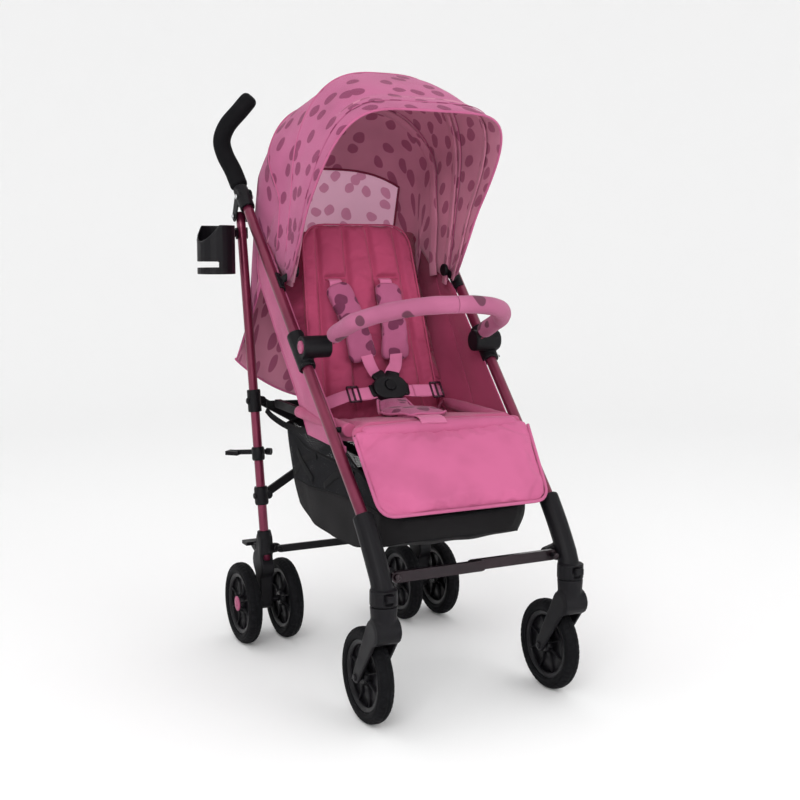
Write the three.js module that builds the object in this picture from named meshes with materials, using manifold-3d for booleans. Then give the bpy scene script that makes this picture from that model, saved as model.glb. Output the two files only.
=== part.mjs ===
// Umbrella-fold baby stroller with a canopy, a reclining seat, a padded bumper bar and six wheels.
// Millimetres, +Z up, front towards -Y, the child's left towards +X.
// The model is laid out about its mid-plane (x = 0) with the floor at z = 0, and the last lines
// move it so that the origin is at the bottom centre of its box.
import * as THREE from "three";
import { mergeVertices } from "three/addons/utils/BufferGeometryUtils.js";
import Module from "manifold-3d";

const wasm = await Module();
wasm.setup();

// ---------------------------------------------------------------- driving dimensions
const sides = { left: 1, right: -1 };
const fit = 0.4; // clearance of a moving pin or a tube in its socket, and between touching parts

const wheelRadius = 80;
const tyreWidth = 27;
const tyreHeight = 20;
const wheelFacets = 24;
const boreRadius = 6.5;
const axleRadius = 5.8;
const spokeCount = 8;
const rimWidth = 18;
const webThickness = 4; // the dish of the rim, with a rib standing on each side at every spoke
const hubRadius = 13;

const tubeRadius = 10; // front tube
const legRadius = 9; // rear leg
const frontTube = { foot: [180, -221, 325], head: [197, 283, 865] };
const legPivot = [197, 312, 838];
const legFoot = [176, 258, 190];
const legLean = Math.atan2(legPivot[1] - legFoot[1], legPivot[2] - legFoot[2]);
const pivotPinRadius = 4; // pins of the crossbars, the brace bars and the handle joint
const collarRadius = 13.5; // brace bracket and brace slider round the leg

const swivel = { x: 179, y: -276, top: 214 };
const frontAxle = [179, -216, wheelRadius];
const rearAxle = [176, 269, wheelRadius];
const rearWheelOffset = 43; // each wheel of a pair from the middle of its rear housing

const gripPath = [
  [199, 311, 896],
  [201, 317, 907],
  [207, 325, 928],
  [219, 335, 958],
  [224, 336, 985],
  [214, 331, 1013],
  [192, 320, 1041],
  [173, 306, 1067],
];
const gripRadius = 17;

const bracePivotX = 165; // the rear X brace's pivots from the mid-plane
const braceLowZ = 293;
const braceHighZ = 480;
const braceLayers = { left: 24, right: 15 }; // behind the leg's axis
const braceThickness = 7;

const railPivot = [155, -86, 469.6]; // seat rail on the front tube
const railEnd = [155, 232, 478.4];

const crossbar = { pivotX: 152, y: -262, z: 254, height: 18, thickness: 8 };
const axleBar = { pivotX: 152, z: 187, height: 14, thickness: 8, setback: -14 };

const bumper = { endX: 158, y: 2, z: 619, reach: 189, rise: 64, bend: 0.8, radius: 14 };
const bumperClamp = { at: 0.5, length: 78, radius: 16, y: 6, z: 605, cap: 11.6 };

const hinge = { y: 133, z: 735 }; // canopy pivot line
const canopyTipWidth = 164;
const canopyTipReach = 35;
// angle from straight ahead, reach from the hinge line, half width, squareness of the hoop
const hoops = [
  { angle: 48, reach: 367, width: 174, square: 5.2 },
  { angle: 60, reach: 352, width: 178, square: 4.2 },
  { angle: 72, reach: 358, width: 180, square: 3.4 },
  { angle: 82, reach: 362, width: 182, square: 3.1 },
  { angle: 95, reach: 352, width: 192, square: 3 },
  { angle: 110, reach: 344, width: 205, square: 3 },
  { angle: 132, reach: 325, width: 211, square: 3 },
];
const canopySplits = { mid: 82, rear: 110, end: 132 };
const apron = { width: 200, backY: 352, sideY: 338, hemZ: 470, hemRise: 88 };
const fabric = 3; // thickness of an unpadded fabric panel

const seat = { halfWidth: 146, crease: [100, 446], knee: [-122, 470], thickness: 26 };
const back = { halfWidth: 140, foot: [100, 458], top: [203, 828], thickness: 30 };
const calf = { knee: [-148, 474], toe: [-238, 346], halfWidth: 170, toeWidth: 160, thickness: 13 };
const basketOutline = [
  [240, 446], [186, 299], [90, 268], [-90, 262], [-196, 288], [-212, 330], [-128, 400], [110, 406],
];
const basketHalfWidth = 145;

const cup = { at: [-262, 270], base: 728, height: 92, outer: 36, wall: 3 };
const lever = { root: [-160, 288, 376], tip: [-214, 345, 370] };

// ---------------------------------------------------------------- materials
const finish = (color, roughness, metalness = 0) =>
  new THREE.MeshStandardMaterial({ color, roughness, metalness });
const plumMetal = finish(0x7c2648, 0.32, 0.75);
const blackPlastic = finish(0x1f2023, 0.5);
const blackRubber = finish(0x17181a, 0.85);
const blackFoam = finish(0x141416, 0.9);
const blackFabric = finish(0x1d1e1f, 0.95);
const pinkFabric = finish(0xb04a76, 0.85);
const pinkPrint = finish(0xb75f8e, 0.85);
const pinkCap = finish(0x9c5070, 0.6);

// ---------------------------------------------------------------- joining and cutting
function solidFrom(geometry) {
  const bare = geometry.index ? geometry.toNonIndexed() : geometry.clone();
  bare.deleteAttribute("normal");
  bare.deleteAttribute("uv");
  const merged = mergeVertices(bare, 1e-3);
  const mesh = new wasm.Mesh({
    numProp: 3,
    vertProperties: merged.attributes.position.array,
    triVerts: new Uint32Array(merged.index.array),
  });
  return new wasm.Manifold(mesh);
}

function geometryFrom(body) {
  const { numProp, numVert, vertProperties, triVerts } = body.getMesh();
  const positions = new Float32Array(numVert * 3);
  for (let i = 0; i < numVert; i++) {
    positions.set(vertProperties.subarray(i * numProp, i * numProp + 3), i * 3);
  }
  const geometry = new THREE.BufferGeometry();
  geometry.setAttribute("position", new THREE.BufferAttribute(positions, 3));
  geometry.setIndex(new THREE.BufferAttribute(triVerts, 1));
  const flat = geometry.toNonIndexed();
  flat.computeVertexNormals();
  return flat;
}

const join = (...pieces) =>
  geometryFrom(pieces.map(solidFrom).reduce((whole, piece) => whole.add(piece)));
const cut = (piece, ...tools) =>
  geometryFrom(tools.map(solidFrom).reduce((left, tool) => left.subtract(tool), solidFrom(piece)));

// ---------------------------------------------------------------- basic forms
const vector = (point) => new THREE.Vector3(...point);
const mirrored = (point, s) => [point[0] * s, point[1], point[2]];
const between = (a, b, t) => a.map((v, i) => v + (b[i] - v) * t);

// A round rod from one point to another.
function rod(from, to, radius, facets = 12, toRadius = radius) {
  const a = vector(from);
  const b = vector(to);
  const geometry = new THREE.CylinderGeometry(toRadius, radius, a.distanceTo(b), facets);
  const turn = new THREE.Quaternion().setFromUnitVectors(
    new THREE.Vector3(0, 1, 0),
    b.clone().sub(a).normalize(),
  );
  geometry.applyQuaternion(turn);
  return geometry.translate(...a.add(b).multiplyScalar(0.5).toArray());
}

const pinAlongX = (x0, x1, y, z, radius, facets = 12) => rod([x0, y, z], [x1, y, z], radius, facets);

// A round section swept along a smooth curve through the points.
function sweep(points, radius, facets = 12, steps = 24) {
  const section = new THREE.Shape();
  section.absarc(0, 0, radius, 0, Math.PI * 2);
  return new THREE.ExtrudeGeometry(section, {
    curveSegments: facets / 2,
    steps,
    extrudePath: new THREE.CatmullRomCurve3(points.map(vector)),
  });
}

// The outline of a bar with round ends between two points of a plane.
function stadium(a, b, radius, endRadius = radius) {
  const along = Math.atan2(b[1] - a[1], b[0] - a[0]);
  const shape = new THREE.Shape();
  shape.absarc(b[0], b[1], endRadius, along - Math.PI / 2, along + Math.PI / 2);
  shape.absarc(a[0], a[1], radius, along + Math.PI / 2, along + Math.PI * 1.5);
  return shape;
}

function polygon(points) {
  return new THREE.Shape(points.map(([u, v]) => new THREE.Vector2(u, v)));
}

const extruded = (shape, depth, curveSegments = 3) =>
  new THREE.ExtrudeGeometry(shape, { depth, bevelEnabled: false, curveSegments });

// A plate whose outline lies in the Y-Z plane, from x0 to x1.
function plateX(shape, x0, x1, curveSegments) {
  const low = Math.min(x0, x1);
  const turn = new THREE.Matrix4().set(0, 0, 1, low, 1, 0, 0, 0, 0, 1, 0, 0, 0, 0, 0, 1);
  return extruded(shape, Math.abs(x1 - x0), curveSegments).applyMatrix4(turn);
}

// A plate whose outline lies in the X-Z plane, from y0 to y1.
function plateY(shape, y0, y1, curveSegments) {
  const high = Math.max(y0, y1);
  const turn = new THREE.Matrix4().set(1, 0, 0, 0, 0, 0, -1, high, 0, 1, 0, 0, 0, 0, 0, 1);
  return extruded(shape, Math.abs(y1 - y0), curveSegments).applyMatrix4(turn);
}

// A sheet of even thickness over a grid of points, closed along its edges.
function thickSheet(pointAt, across, along, thickness) {
  const grid = (u, v) => vector(pointAt(u / across, v / along));
  const positions = [];
  const index = [];
  const columns = across + 1;
  for (const offset of [0, -thickness]) {
    for (let v = 0; v <= along; v++) {
      for (let u = 0; u <= across; u++) {
        const du = grid(Math.min(u + 1, across), v).sub(grid(Math.max(u - 1, 0), v));
        const dv = grid(u, Math.min(v + 1, along)).sub(grid(u, Math.max(v - 1, 0)));
        const normal = du.cross(dv).normalize();
        positions.push(...grid(u, v).addScaledVector(normal, offset).toArray());
      }
    }
  }
  const inner = columns * (along + 1);
  const quad = (a, b, c, d) => index.push(a, b, c, a, c, d);
  for (let v = 0; v < along; v++) {
    for (let u = 0; u < across; u++) {
      const a = v * columns + u;
      quad(a, a + 1, a + 1 + columns, a + columns);
      quad(a + inner, a + columns + inner, a + 1 + columns + inner, a + 1 + inner);
    }
    const start = v * columns;
    const end = start + across;
    quad(start, start + columns, start + columns + inner, start + inner);
    quad(end, end + inner, end + columns + inner, end + columns);
  }
  for (let u = 0; u < across; u++) {
    const last = along * columns + u;
    quad(u, u + inner, u + 1 + inner, u + 1);
    quad(last, last + 1, last + 1 + inner, last + inner);
  }
  const geometry = new THREE.BufferGeometry();
  geometry.setAttribute("position", new THREE.Float32BufferAttribute(positions, 3));
  geometry.setIndex(index);
  return geometry;
}

// ---------------------------------------------------------------- the assembly's group
const frame = new THREE.Group();
function add(name, geometry, material) {
  const mesh = new THREE.Mesh(geometry, material);
  mesh.name = name;
  frame.add(mesh);
}

// ---------------------------------------------------------------- side frames
const alongTube = (s, t) => between(mirrored(frontTube.foot, s), mirrored(frontTube.head, s), t);
const tubeLength = vector(frontTube.foot).distanceTo(vector(frontTube.head));
const alongLeg = (s, z) =>
  between(mirrored(legFoot, s), mirrored(legPivot, s), (z - legFoot[2]) / (legPivot[2] - legFoot[2]));

function frontTubeSolid(s) {
  const socketDepth = -0.04;
  return rod(alongTube(s, socketDepth), alongTube(s, 1), tubeRadius, 14);
}

function handleJoint(s) {
  const [x, y, z] = mirrored(frontTube.head, s);
  const collarEnd = between(alongTube(s, 1), mirrored(gripPath[0], s), 0.85);
  const collar = rod(alongTube(s, 0.976), collarEnd, 14.5, 12);
  const cheekOutline = stadium([y + 10, z + 12], [legPivot[1], legPivot[2]], 13, 11);
  const cheek = (near, far) => plateX(cheekOutline, x + s * near, x + s * far);
  const pin = pinAlongX(x - 16, x + 16, legPivot[1], legPivot[2], pivotPinRadius, 10);
  const rivet = pinAlongX(x - 16, x + 16, y + 8, z + 10, 5, 10);
  const whole = join(collar, cheek(-14, -11), cheek(11, 14), pin, rivet);
  return cut(whole, rod(alongTube(s, 0.9), alongTube(s, 1.0006), tubeRadius + fit, 14));
}

const handleGrip = (s) => sweep(gripPath.map((p) => mirrored(p, s)), gripRadius, 12, 11);

function frontCasting(s) {
  const neck = sweep(
    [[180.3, -203, 344], [180, -230, 308], [179.5, -254, 272], [179, -269, 246], [179, -274, 224]]
      .map((p) => mirrored(p, s)), 18, 12, 8);
  const base = rod([s * swivel.x, swivel.y, swivel.top], [s * swivel.x, swivel.y, swivel.top + 26], 23);
  const armHeight = crossbar.z;
  const arm = plateY(
    stadium([s * (swivel.x - 8), armHeight], [s * crossbar.pivotX, armHeight], 15, 10),
    crossbar.y + 12, crossbar.y + 26);
  const pin = rod([s * crossbar.pivotX, crossbar.y + 14, crossbar.z],
    [s * crossbar.pivotX, crossbar.y - 11, crossbar.z], pivotPinRadius, 10);
  const socket = rod(alongTube(s, -0.0415), alongTube(s, 0.2), tubeRadius + fit, 14);
  const lockSlot = new THREE.BoxGeometry(15, 12, 18).translate(
    s * swivel.x, swivel.y - 23, swivel.top + 13);
  return cut(join(neck, base, arm, pin), socket, lockSlot);
}

const swivelLock = (s) => new THREE.BoxGeometry(13.5, 12, 10).translate(
  s * swivel.x, swivel.y - 24, swivel.top + 16.4);

function casterFork(s) {
  const x = s * swivel.x;
  const top = swivel.top - fit;
  const head = rod([x, swivel.y, top - 38], [x, swivel.y, top], 20, 16, 22.5);
  const brow = pinAlongX(x - 22, x + 22, swivel.y - 2, top - 42, 22, 16);
  const armOutline = stadium([swivel.y + 2, top - 44], [frontAxle[1], frontAxle[2]], 19, 11);
  const arm = (near, far) => plateX(armOutline, x + near, x + far);
  const axle = pinAlongX(x - 24, x + 24, frontAxle[1], frontAxle[2], axleRadius, 8);
  const whole = join(head, brow, arm(-23, -17), arm(17, 23), axle);
  const wheelRoom = pinAlongX(x - 16.9, x + 16.9, frontAxle[1], frontAxle[2], wheelRadius + 4, 24);
  return join(cut(whole, wheelRoom), axle);
}

// ---------------------------------------------------------------- wheels
function tyre(x, y) {
  const loop = [];
  for (let i = 0; i <= 8; i++) {
    const turn = (i / 8) * Math.PI * 2;
    const round = (v) => Math.sign(v) * Math.abs(v) ** 0.7;
    loop.push(new THREE.Vector2(
      wheelRadius - tyreHeight / 2 + (round(Math.cos(turn)) * tyreHeight) / 2,
      (round(Math.sin(turn)) * tyreWidth) / 2));
  }
  return new THREE.LatheGeometry(loop, wheelFacets).rotateZ(Math.PI / 2).translate(x, y, wheelRadius);
}

function rim(x, y) {
  const outer = wheelRadius - tyreHeight - fit;
  const inner = outer - 7;
  const half = rimWidth / 2;
  const loop = [[inner, -half], [outer, -half], [outer, half], [inner, half], [inner, -half]]
    .map(([r, w]) => new THREE.Vector2(r, w));
  const band = new THREE.LatheGeometry(loop, wheelFacets).rotateZ(Math.PI / 2);
  const hub = pinAlongX(-half - 3, half + 3, 0, 0, hubRadius, 12);
  const spokes = [];
  for (let i = 0; i < spokeCount; i++) {
    const spoke = new THREE.BoxGeometry(2 * webThickness, 4, inner - 8).translate(0, 0, inner / 2 + 6);
    spokes.push(spoke.rotateX((i / spokeCount) * Math.PI * 2));
  }
  const web = pinAlongX(-webThickness / 2, webThickness / 2, 0, 0, inner + 1, wheelFacets);
  const bore = pinAlongX(-rimWidth, rimWidth, 0, 0, boreRadius, 8);
  return cut(join(band, hub, web, ...spokes), bore).translate(x, y, wheelRadius);
}

function addWheel(name, x, y) {
  add(`${name}_tyre`, tyre(x, y), blackRubber);
  add(`${name}_rim`, rim(x, y), blackPlastic);
}

// ---------------------------------------------------------------- rear legs
// Turns a form made about the origin into the leaning plane of the rear legs.
const leaned = (geometry, at) => geometry.rotateX(-legLean).translate(...at);

function rearLeg(s, holdsLever) {
  const tube = rod(alongLeg(s, 164), alongLeg(s, 847), legRadius, 12);
  const eye = pinAlongX(
    s * (legPivot[0] - 12), s * (legPivot[0] + 12), legPivot[1], legPivot[2], 4.8, 10);
  const collar = rod(alongLeg(s, braceLowZ - 17), alongLeg(s, braceLowZ + 17), collarRadius);
  const [x, y, z] = alongLeg(s, braceLowZ);
  const layer = braceLayers[s > 0 ? "left" : "right"];
  const bossX = s * bracePivotX - x;
  const boss = leaned(rod([bossX, -6, 0], [bossX, layer - fit, 0], 8, 12), [x, y, z]);
  const pinEnd = layer + braceThickness + 1;
  const pin = leaned(rod([bossX, 0, 0], [bossX, pinEnd, 0], pivotPinRadius, 10), [x, y, z]);
  const parts = [tube, collar, boss, pin];
  if (holdsLever) {
    const mount = alongLeg(s, lever.root[2]);
    const reach = between(mount, lever.root, 0.55);
    parts.push(rod(alongLeg(s, 363), alongLeg(s, 389), 12.5));
    parts.push(rod(mount, reach, 6, 10));
  }
  return cut(join(...parts), eye);
}

function rearHousing(s) {
  const x = s * rearAxle[0];
  const [, axleY, axleZ] = rearAxle;
  const body = plateX(stadium([axleY, axleZ], [262, 206], 17, 14), x - 13, x + 13);
  const shoulder = plateX(stadium([axleY - 4, 150], [axleY + 4, 160], 24), x - 13, x + 13, 5);
  const neck = rod(alongLeg(s, 176), alongLeg(s, 224), 14);
  const reach = rearWheelOffset + tyreWidth / 2;
  const axle = pinAlongX(x - reach, x + reach, axleY, axleZ, axleRadius, 8);
  const at = alongLeg(s, axleBar.z);
  const lug = leaned(plateY(
    stadium([0, 0], [s * axleBar.pivotX - at[0], 0], 11, 9),
    axleBar.setback + 9.5, axleBar.setback + 20), at);
  const pin = leaned(rod([s * axleBar.pivotX - at[0], axleBar.setback + 12, 0],
    [s * axleBar.pivotX - at[0], axleBar.setback - 9.5, 0], pivotPinRadius, 10), at);
  const socket = rod(alongLeg(s, 163.4), alongLeg(s, 300), legRadius + fit, 12);
  return cut(join(body, shoulder, neck, axle, lug, pin), socket);
}

function brakePedal(s) {
  const x = s * rearAxle[0];
  const tread = new THREE.BoxGeometry(44, 26, 7).translate(x, 318, 188);
  const web = plateX(stadium([296, 182], [316, 187], 7, 4), x - 9, x + 9);
  return join(tread, web);
}

function braceSlider(s) {
  const sleeve = rod(alongLeg(s, braceHighZ - 22), alongLeg(s, braceHighZ + 22), collarRadius);
  const at = alongLeg(s, braceHighZ);
  const layer = braceLayers[s > 0 ? "right" : "left"];
  const lug = leaned(plateY(
    stadium([0, 0], [s * bracePivotX - at[0], 0], 9, 8), 6, layer - fit), at);
  return cut(join(sleeve, lug), rod(alongLeg(s, braceHighZ - 60), alongLeg(s, braceHighZ + 60),
    legRadius + fit, 12));
}

// A brace bar rises from one leg's bracket to the slider on the other leg.
function braceBar(s) {
  const at = alongLeg(s, braceLowZ);
  const rise = (braceHighZ - braceLowZ) / Math.cos(legLean);
  const foot = [s * bracePivotX - at[0], 0];
  const head = [-s * bracePivotX - at[0], rise];
  const layer = braceLayers[s > 0 ? "left" : "right"];
  const bar = plateY(stadium(foot, head, 8), layer, layer + braceThickness);
  const eye = rod([foot[0], layer - 4, 0], [foot[0], layer + 12, 0], pivotPinRadius + fit, 10);
  return leaned(cut(bar, eye), at);
}

function foldLever() {
  const [rx, ry, rz] = lever.root;
  const arm = rod(lever.root, lever.tip, 5, 10);
  const boss = rod([rx + 2, ry + 2, rz], [rx + 9, ry - 5, rz], 7, 12);
  const turn = Math.atan2(lever.tip[1] - ry, lever.tip[0] - rx);
  const tread = new THREE.BoxGeometry(26, 22, 8).rotateZ(turn)
    .translate(lever.tip[0] + 4, lever.tip[1] - 6, lever.tip[2]);
  return join(arm, boss, tread, rod([rx, ry, rz], [rx + 9, ry - 1, rz], 5, 10));
}

// ---------------------------------------------------------------- folding bars
// Half of a bar that folds upwards at its middle; the two halves lap one behind the other.
function halfBar(s, { pivotX, height, thickness }, layer) {
  const outline = stadium([s * pivotX, 0], [-s * 6, 0], height / 2);
  const eye = rod([s * pivotX, layer - 4, 0], [s * pivotX, layer + 14, 0], pivotPinRadius + fit, 10);
  return cut(plateY(outline, layer, layer + thickness), eye);
}

const frontCrossbar = (s) => halfBar(s, crossbar, s > 0 ? 0.6 : -8.4)
  .translate(0, crossbar.y, crossbar.z);

function rearCrossbar(s) {
  const layer = axleBar.setback + (s > 0 ? 0.6 : -8.4);
  const [, y, z] = alongLeg(s, axleBar.z);
  return leaned(halfBar(s, axleBar, layer), [0, y, z]);
}

function seatRail(s) {
  const [x, y, z] = mirrored(railPivot, s);
  const bar = plateX(stadium([y, z], [railEnd[1], railEnd[2]], 8), x - 5, x + 5);
  return join(bar, pinAlongX(x, s * 173.4, y, z, 5, 12));
}

// ---------------------------------------------------------------- bumper bar
function bumperClampSolid(s) {
  const half = bumperClamp.length / 2 / tubeLength;
  const sleeve = rod(alongTube(s, bumperClamp.at - half), alongTube(s, bumperClamp.at + half),
    bumperClamp.radius);
  const barrel = pinAlongX(s * 147, s * 200, bumperClamp.y, bumperClamp.z, 20, 16);
  const stemEnd = [s * 182, bumperClamp.y, bumperClamp.z];
  const stem = rod(alongTube(s, bumperClamp.at), stemEnd, 15, 12);
  const tube = rod(alongTube(s, 0.3), alongTube(s, 0.7), tubeRadius + fit, 14);
  const recess = pinAlongX(
    s * 190.5, s * 203, bumperClamp.y, bumperClamp.z, bumperClamp.cap + fit, 16);
  return cut(join(sleeve, barrel, stem), tube, recess);
}

const bumperButton = (s) =>
  pinAlongX(s * 194.6, s * 201.5, bumperClamp.y, bumperClamp.z, bumperClamp.cap, 16);

function bumperHalf(s) {
  const points = [[s * 150, -27, 625.5], [s * 151, -40, 631]];
  const tongue = rod([s * 150, -19, 622], [s * 151, -40, 631], 8);
  const start = 0.42;
  const end = Math.PI / 2 - 0.053;
  const turns = 6;
  for (let i = 0; i <= turns; i++) {
    const angle = start + ((end - start) * i) / turns;
    const side = Math.cos(angle) ** bumper.bend;
    const out = Math.sin(angle) ** bumper.bend;
    points.push([s * bumper.endX * side, bumper.y - bumper.reach * out, bumper.z + bumper.rise * out]);
  }
  const tip = points.at(-1);
  const dome = new THREE.SphereGeometry(bumper.radius, 10, 6).translate(...tip);
  return join(sweep(points, bumper.radius, 12, 9), dome, tongue);
}

// ---------------------------------------------------------------- canopy
function hoopAt(angle) {
  const next = Math.max(1, hoops.findIndex((h) => h.angle >= angle));
  const [a, b] = [hoops[next - 1], hoops[next]];
  const t = (angle - a.angle) / (b.angle - a.angle);
  const mix = (key) => a[key] + (b[key] - a[key]) * t;
  return { angle, reach: mix("reach"), width: mix("width"), square: mix("square") };
}

// A point of a hoop: along runs from 0 at the right tip to 1 at the left tip.
function hoopPoint({ angle, reach, width, square }, along, inset) {
  const tip = Math.asin((canopyTipReach / reach) ** (square / 2));
  const turn = Math.PI - tip - (Math.PI - 2 * tip) * along;
  const out = reach * Math.sin(turn) ** (2 / square) - inset;
  const swell = Math.min(1, Math.max(0, (out - 125) / 120));
  const half = canopyTipWidth + (width - canopyTipWidth) * swell * swell * (3 - 2 * swell) - inset;
  const across = half * Math.sign(Math.cos(turn)) * Math.abs(Math.cos(turn)) ** (2 / square);
  const tilt = THREE.MathUtils.degToRad(angle);
  return [across, hinge.y - out * Math.cos(tilt), hinge.z + out * Math.sin(tilt)];
}

const canopyPanel = (from, to, inset, rows) => thickSheet(
  (along, across) => hoopPoint(hoopAt(from + (to - from) * across), along, inset), 18, rows, fabric);

// The rear panel runs from the last bow down to the hem of the apron behind the seat.
function canopyRear() {
  const inset = 8;
  const upper = 2;
  const lower = 5;
  const hemPoint = (along) => {
    const turn = Math.PI * (1 - along);
    const out = Math.sin(turn) ** 0.7;
    const rise = apron.hemRise * Math.cos(turn) ** 2;
    return [apron.width * Math.cos(turn), apron.sideY + (apron.backY - apron.sideY) * out,
      apron.hemZ + rise];
  };
  return thickSheet((along, down) => {
    const row = down * (upper + lower);
    if (row <= upper) {
      const angle = canopySplits.rear + ((canopySplits.end - canopySplits.rear) * row) / upper;
      return hoopPoint(hoopAt(angle), along, inset);
    }
    const t = (row - upper) / lower;
    const bow = hoopPoint(hoopAt(canopySplits.end), along, inset);
    const bulge = 26 * Math.sin(Math.PI * t) * Math.sin(Math.PI * along);
    const hem = hemPoint(along);
    const point = between(bow, hem, t);
    return [bow[0] + (hem[0] - bow[0]) * t ** 3, point[1] + bulge, point[2]];
  }, 18, upper + lower, fabric);
}

// A saddle on the inner side of the tube, with an arm out to the canopy's pivot boss.
function canopyClip(s) {
  const foot = alongTube(s, 0.715);
  const saddle = rod(alongTube(s, 0.69), alongTube(s, 0.74), 14);
  const boss = pinAlongX(s * 153, s * 160, hinge.y, hinge.z, 12, 14);
  const arm = rod(foot, [s * 157, hinge.y, hinge.z], 7, 10);
  const tube = rod(alongTube(s, 0.5), alongTube(s, 0.95), tubeRadius + fit, 14);
  const openSide = new THREE.BoxGeometry(24, 80, 80).translate(foot[0] + s * 13, foot[1], foot[2]);
  return cut(join(saddle, arm, boss), tube, openSide);
}

// ---------------------------------------------------------------- seat, harness and basket
// A pad of even thickness between two points of the Y-Z plane, behind or below that line.
function pad([y0, z0], [y1, z1], halfWidth, endWidth, thickness, corner) {
  const length = Math.hypot(y1 - y0, z1 - z0);
  const outline = new THREE.Shape();
  outline.moveTo(-halfWidth, 0);
  outline.lineTo(halfWidth, 0);
  outline.lineTo(endWidth, length - corner);
  outline.absarc(endWidth - corner, length - corner, corner, 0, Math.PI / 2);
  outline.absarc(corner - endWidth, length - corner, corner, Math.PI / 2, Math.PI);
  const tilt = Math.atan2(z1 - z0, y1 - y0);
  return extruded(outline, thickness, 4).rotateX(tilt).translate(0, y0, z0);
}

function backrest() {
  const tilt = Math.atan2(back.top[1] - back.foot[1], back.top[0] - back.foot[0]);
  return pad(back.foot, back.top, back.halfWidth, 112, back.thickness, 70)
    .translate(0, back.thickness * Math.sin(tilt), -back.thickness * Math.cos(tilt));
}

const seatBase = () => pad(seat.crease, seat.knee, seat.halfWidth, seat.halfWidth, seat.thickness, 12);
const calfPad = () => pad(calf.knee, calf.toe, calf.halfWidth, calf.toeWidth, calf.thickness, 34);

function basket() {
  const inside = basketOutline.map(([y, z], i) => {
    const onRim = i === 0 || i > 5;
    return [y + (y > 0 ? -fabric : fabric), z + (onRim ? 12 : fabric)];
  });
  const shell = plateX(polygon(basketOutline), -basketHalfWidth, basketHalfWidth);
  return cut(shell, plateX(polygon(inside), fabric - basketHalfWidth, basketHalfWidth - fabric));
}

// Shoulder pads, crotch strap and buckle seat, sewn together as one harness.
function harness() {
  const tilt = Math.atan2(back.foot[0] - back.top[0], back.top[1] - back.foot[1]);
  const shoulder = (s) => plateY(stadium([s * 46, 0], [s * 20, -150], 24), 0, 16)
    .rotateX(tilt).translate(0, 150, 705);
  const yoke = new THREE.BoxGeometry(60, 36, 34).translate(0, 99, 554);
  return join(shoulder(1), shoulder(-1), yoke);
}

const onBuckle = (geometry) => geometry.rotateX(-0.5).translate(0, 62, 516);

function buckle() {
  const body = plateY(stadium([-13, 0], [13, 0], 22), -11, 11, 6);
  return onBuckle(cut(body, rod([0, -20, 4], [0, -1, 4], 11, 14)));
}

const buckleButton = () => onBuckle(rod([0, -12.5, 4], [0, -4 - fit, 4], 11 - fit, 14));

// ---------------------------------------------------------------- cup holder
// A cup cut away at its outer side, with a slot above its floor, held by a saddle behind the leg.
function cupHolder() {
  const [x, y] = cup.at;
  const floor = cup.base + 4;
  const wallLoop = [
    [0, cup.base], [cup.outer, cup.base], [cup.outer, cup.base + cup.height],
    [cup.outer - cup.wall, cup.base + cup.height], [cup.outer - cup.wall, floor], [0, floor],
  ].map(([r, z]) => new THREE.Vector2(r, z));
  const shell = new THREE.LatheGeometry(wallLoop, 20).rotateX(Math.PI / 2).translate(x, y, 0);
  const slot = new THREE.BoxGeometry(60, 120, 11).translate(-30, 0, 0).rotateZ(-0.45)
    .translate(x + 10, y, cup.base + 18);
  const mouth = new THREE.BoxGeometry(110, 130, 60).translate(0, 0, 30).rotateY(-0.9).rotateX(0.3)
    .translate(x - 12, y, cup.base + cup.height);
  const clampAt = alongLeg(-1, 806);
  const clamp = rod(alongLeg(-1, 795), alongLeg(-1, 817), 13);
  const arm = rod([x + 18, y + 25, 806], clampAt, 8, 10);
  const hollow = rod([x, y, floor], [x, y, cup.base + cup.height + 5], cup.outer - cup.wall - fit, 20);
  const tube = rod(alongLeg(-1, 760), alongLeg(-1, 836), legRadius + fit, 12);
  const openFront = new THREE.BoxGeometry(26, 30, 60)
    .translate(clampAt[0] + 3, clampAt[1] - 16, clampAt[2]);
  return cut(join(cut(shell, slot, mouth), clamp, arm), hollow, tube, openFront);
}

// ---------------------------------------------------------------- assembly
for (const [name, s] of Object.entries(sides)) {
  add(`front_tube_${name}`, frontTubeSolid(s), plumMetal);
  add(`handle_joint_${name}`, handleJoint(s), blackPlastic);
  add(`handle_grip_${name}`, handleGrip(s), blackFoam);
  add(`caster_housing_${name}`, frontCasting(s), blackPlastic);
  add(`swivel_lock_${name}`, swivelLock(s), blackPlastic);
  add(`caster_fork_${name}`, casterFork(s), blackPlastic);
  addWheel(`front_wheel_${name}`, s * frontAxle[0], frontAxle[1]);

  add(`rear_leg_${name}`, rearLeg(s, s < 0), plumMetal);
  add(`rear_housing_${name}`, rearHousing(s), blackPlastic);
  add(`brake_pedal_${name}`, brakePedal(s), blackPlastic);
  add(`brace_slider_${name}`, braceSlider(s), blackPlastic);
  add(`brace_bar_${name}`, braceBar(s), blackPlastic);
  addWheel(`rear_outer_wheel_${name}`, s * (rearAxle[0] + rearWheelOffset), rearAxle[1]);
  addWheel(`rear_inner_wheel_${name}`, s * (rearAxle[0] - rearWheelOffset), rearAxle[1]);

  add(`front_crossbar_${name}`, frontCrossbar(s), plumMetal);
  add(`rear_crossbar_${name}`, rearCrossbar(s), blackPlastic);
  add(`seat_rail_${name}`, seatRail(s), blackPlastic);

  add(`bumper_clamp_${name}`, bumperClampSolid(s), blackPlastic);
  add(`bumper_button_${name}`, bumperButton(s), pinkCap);
  add(`bumper_half_${name}`, bumperHalf(s), pinkPrint);
  add(`canopy_clip_${name}`, canopyClip(s), blackPlastic);
}
add("fold_lever", foldLever(), blackPlastic);
add("cup_holder", cupHolder(), blackPlastic);
add("canopy_front", canopyPanel(hoops[0].angle, canopySplits.mid, 0, 4), pinkPrint);
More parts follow.
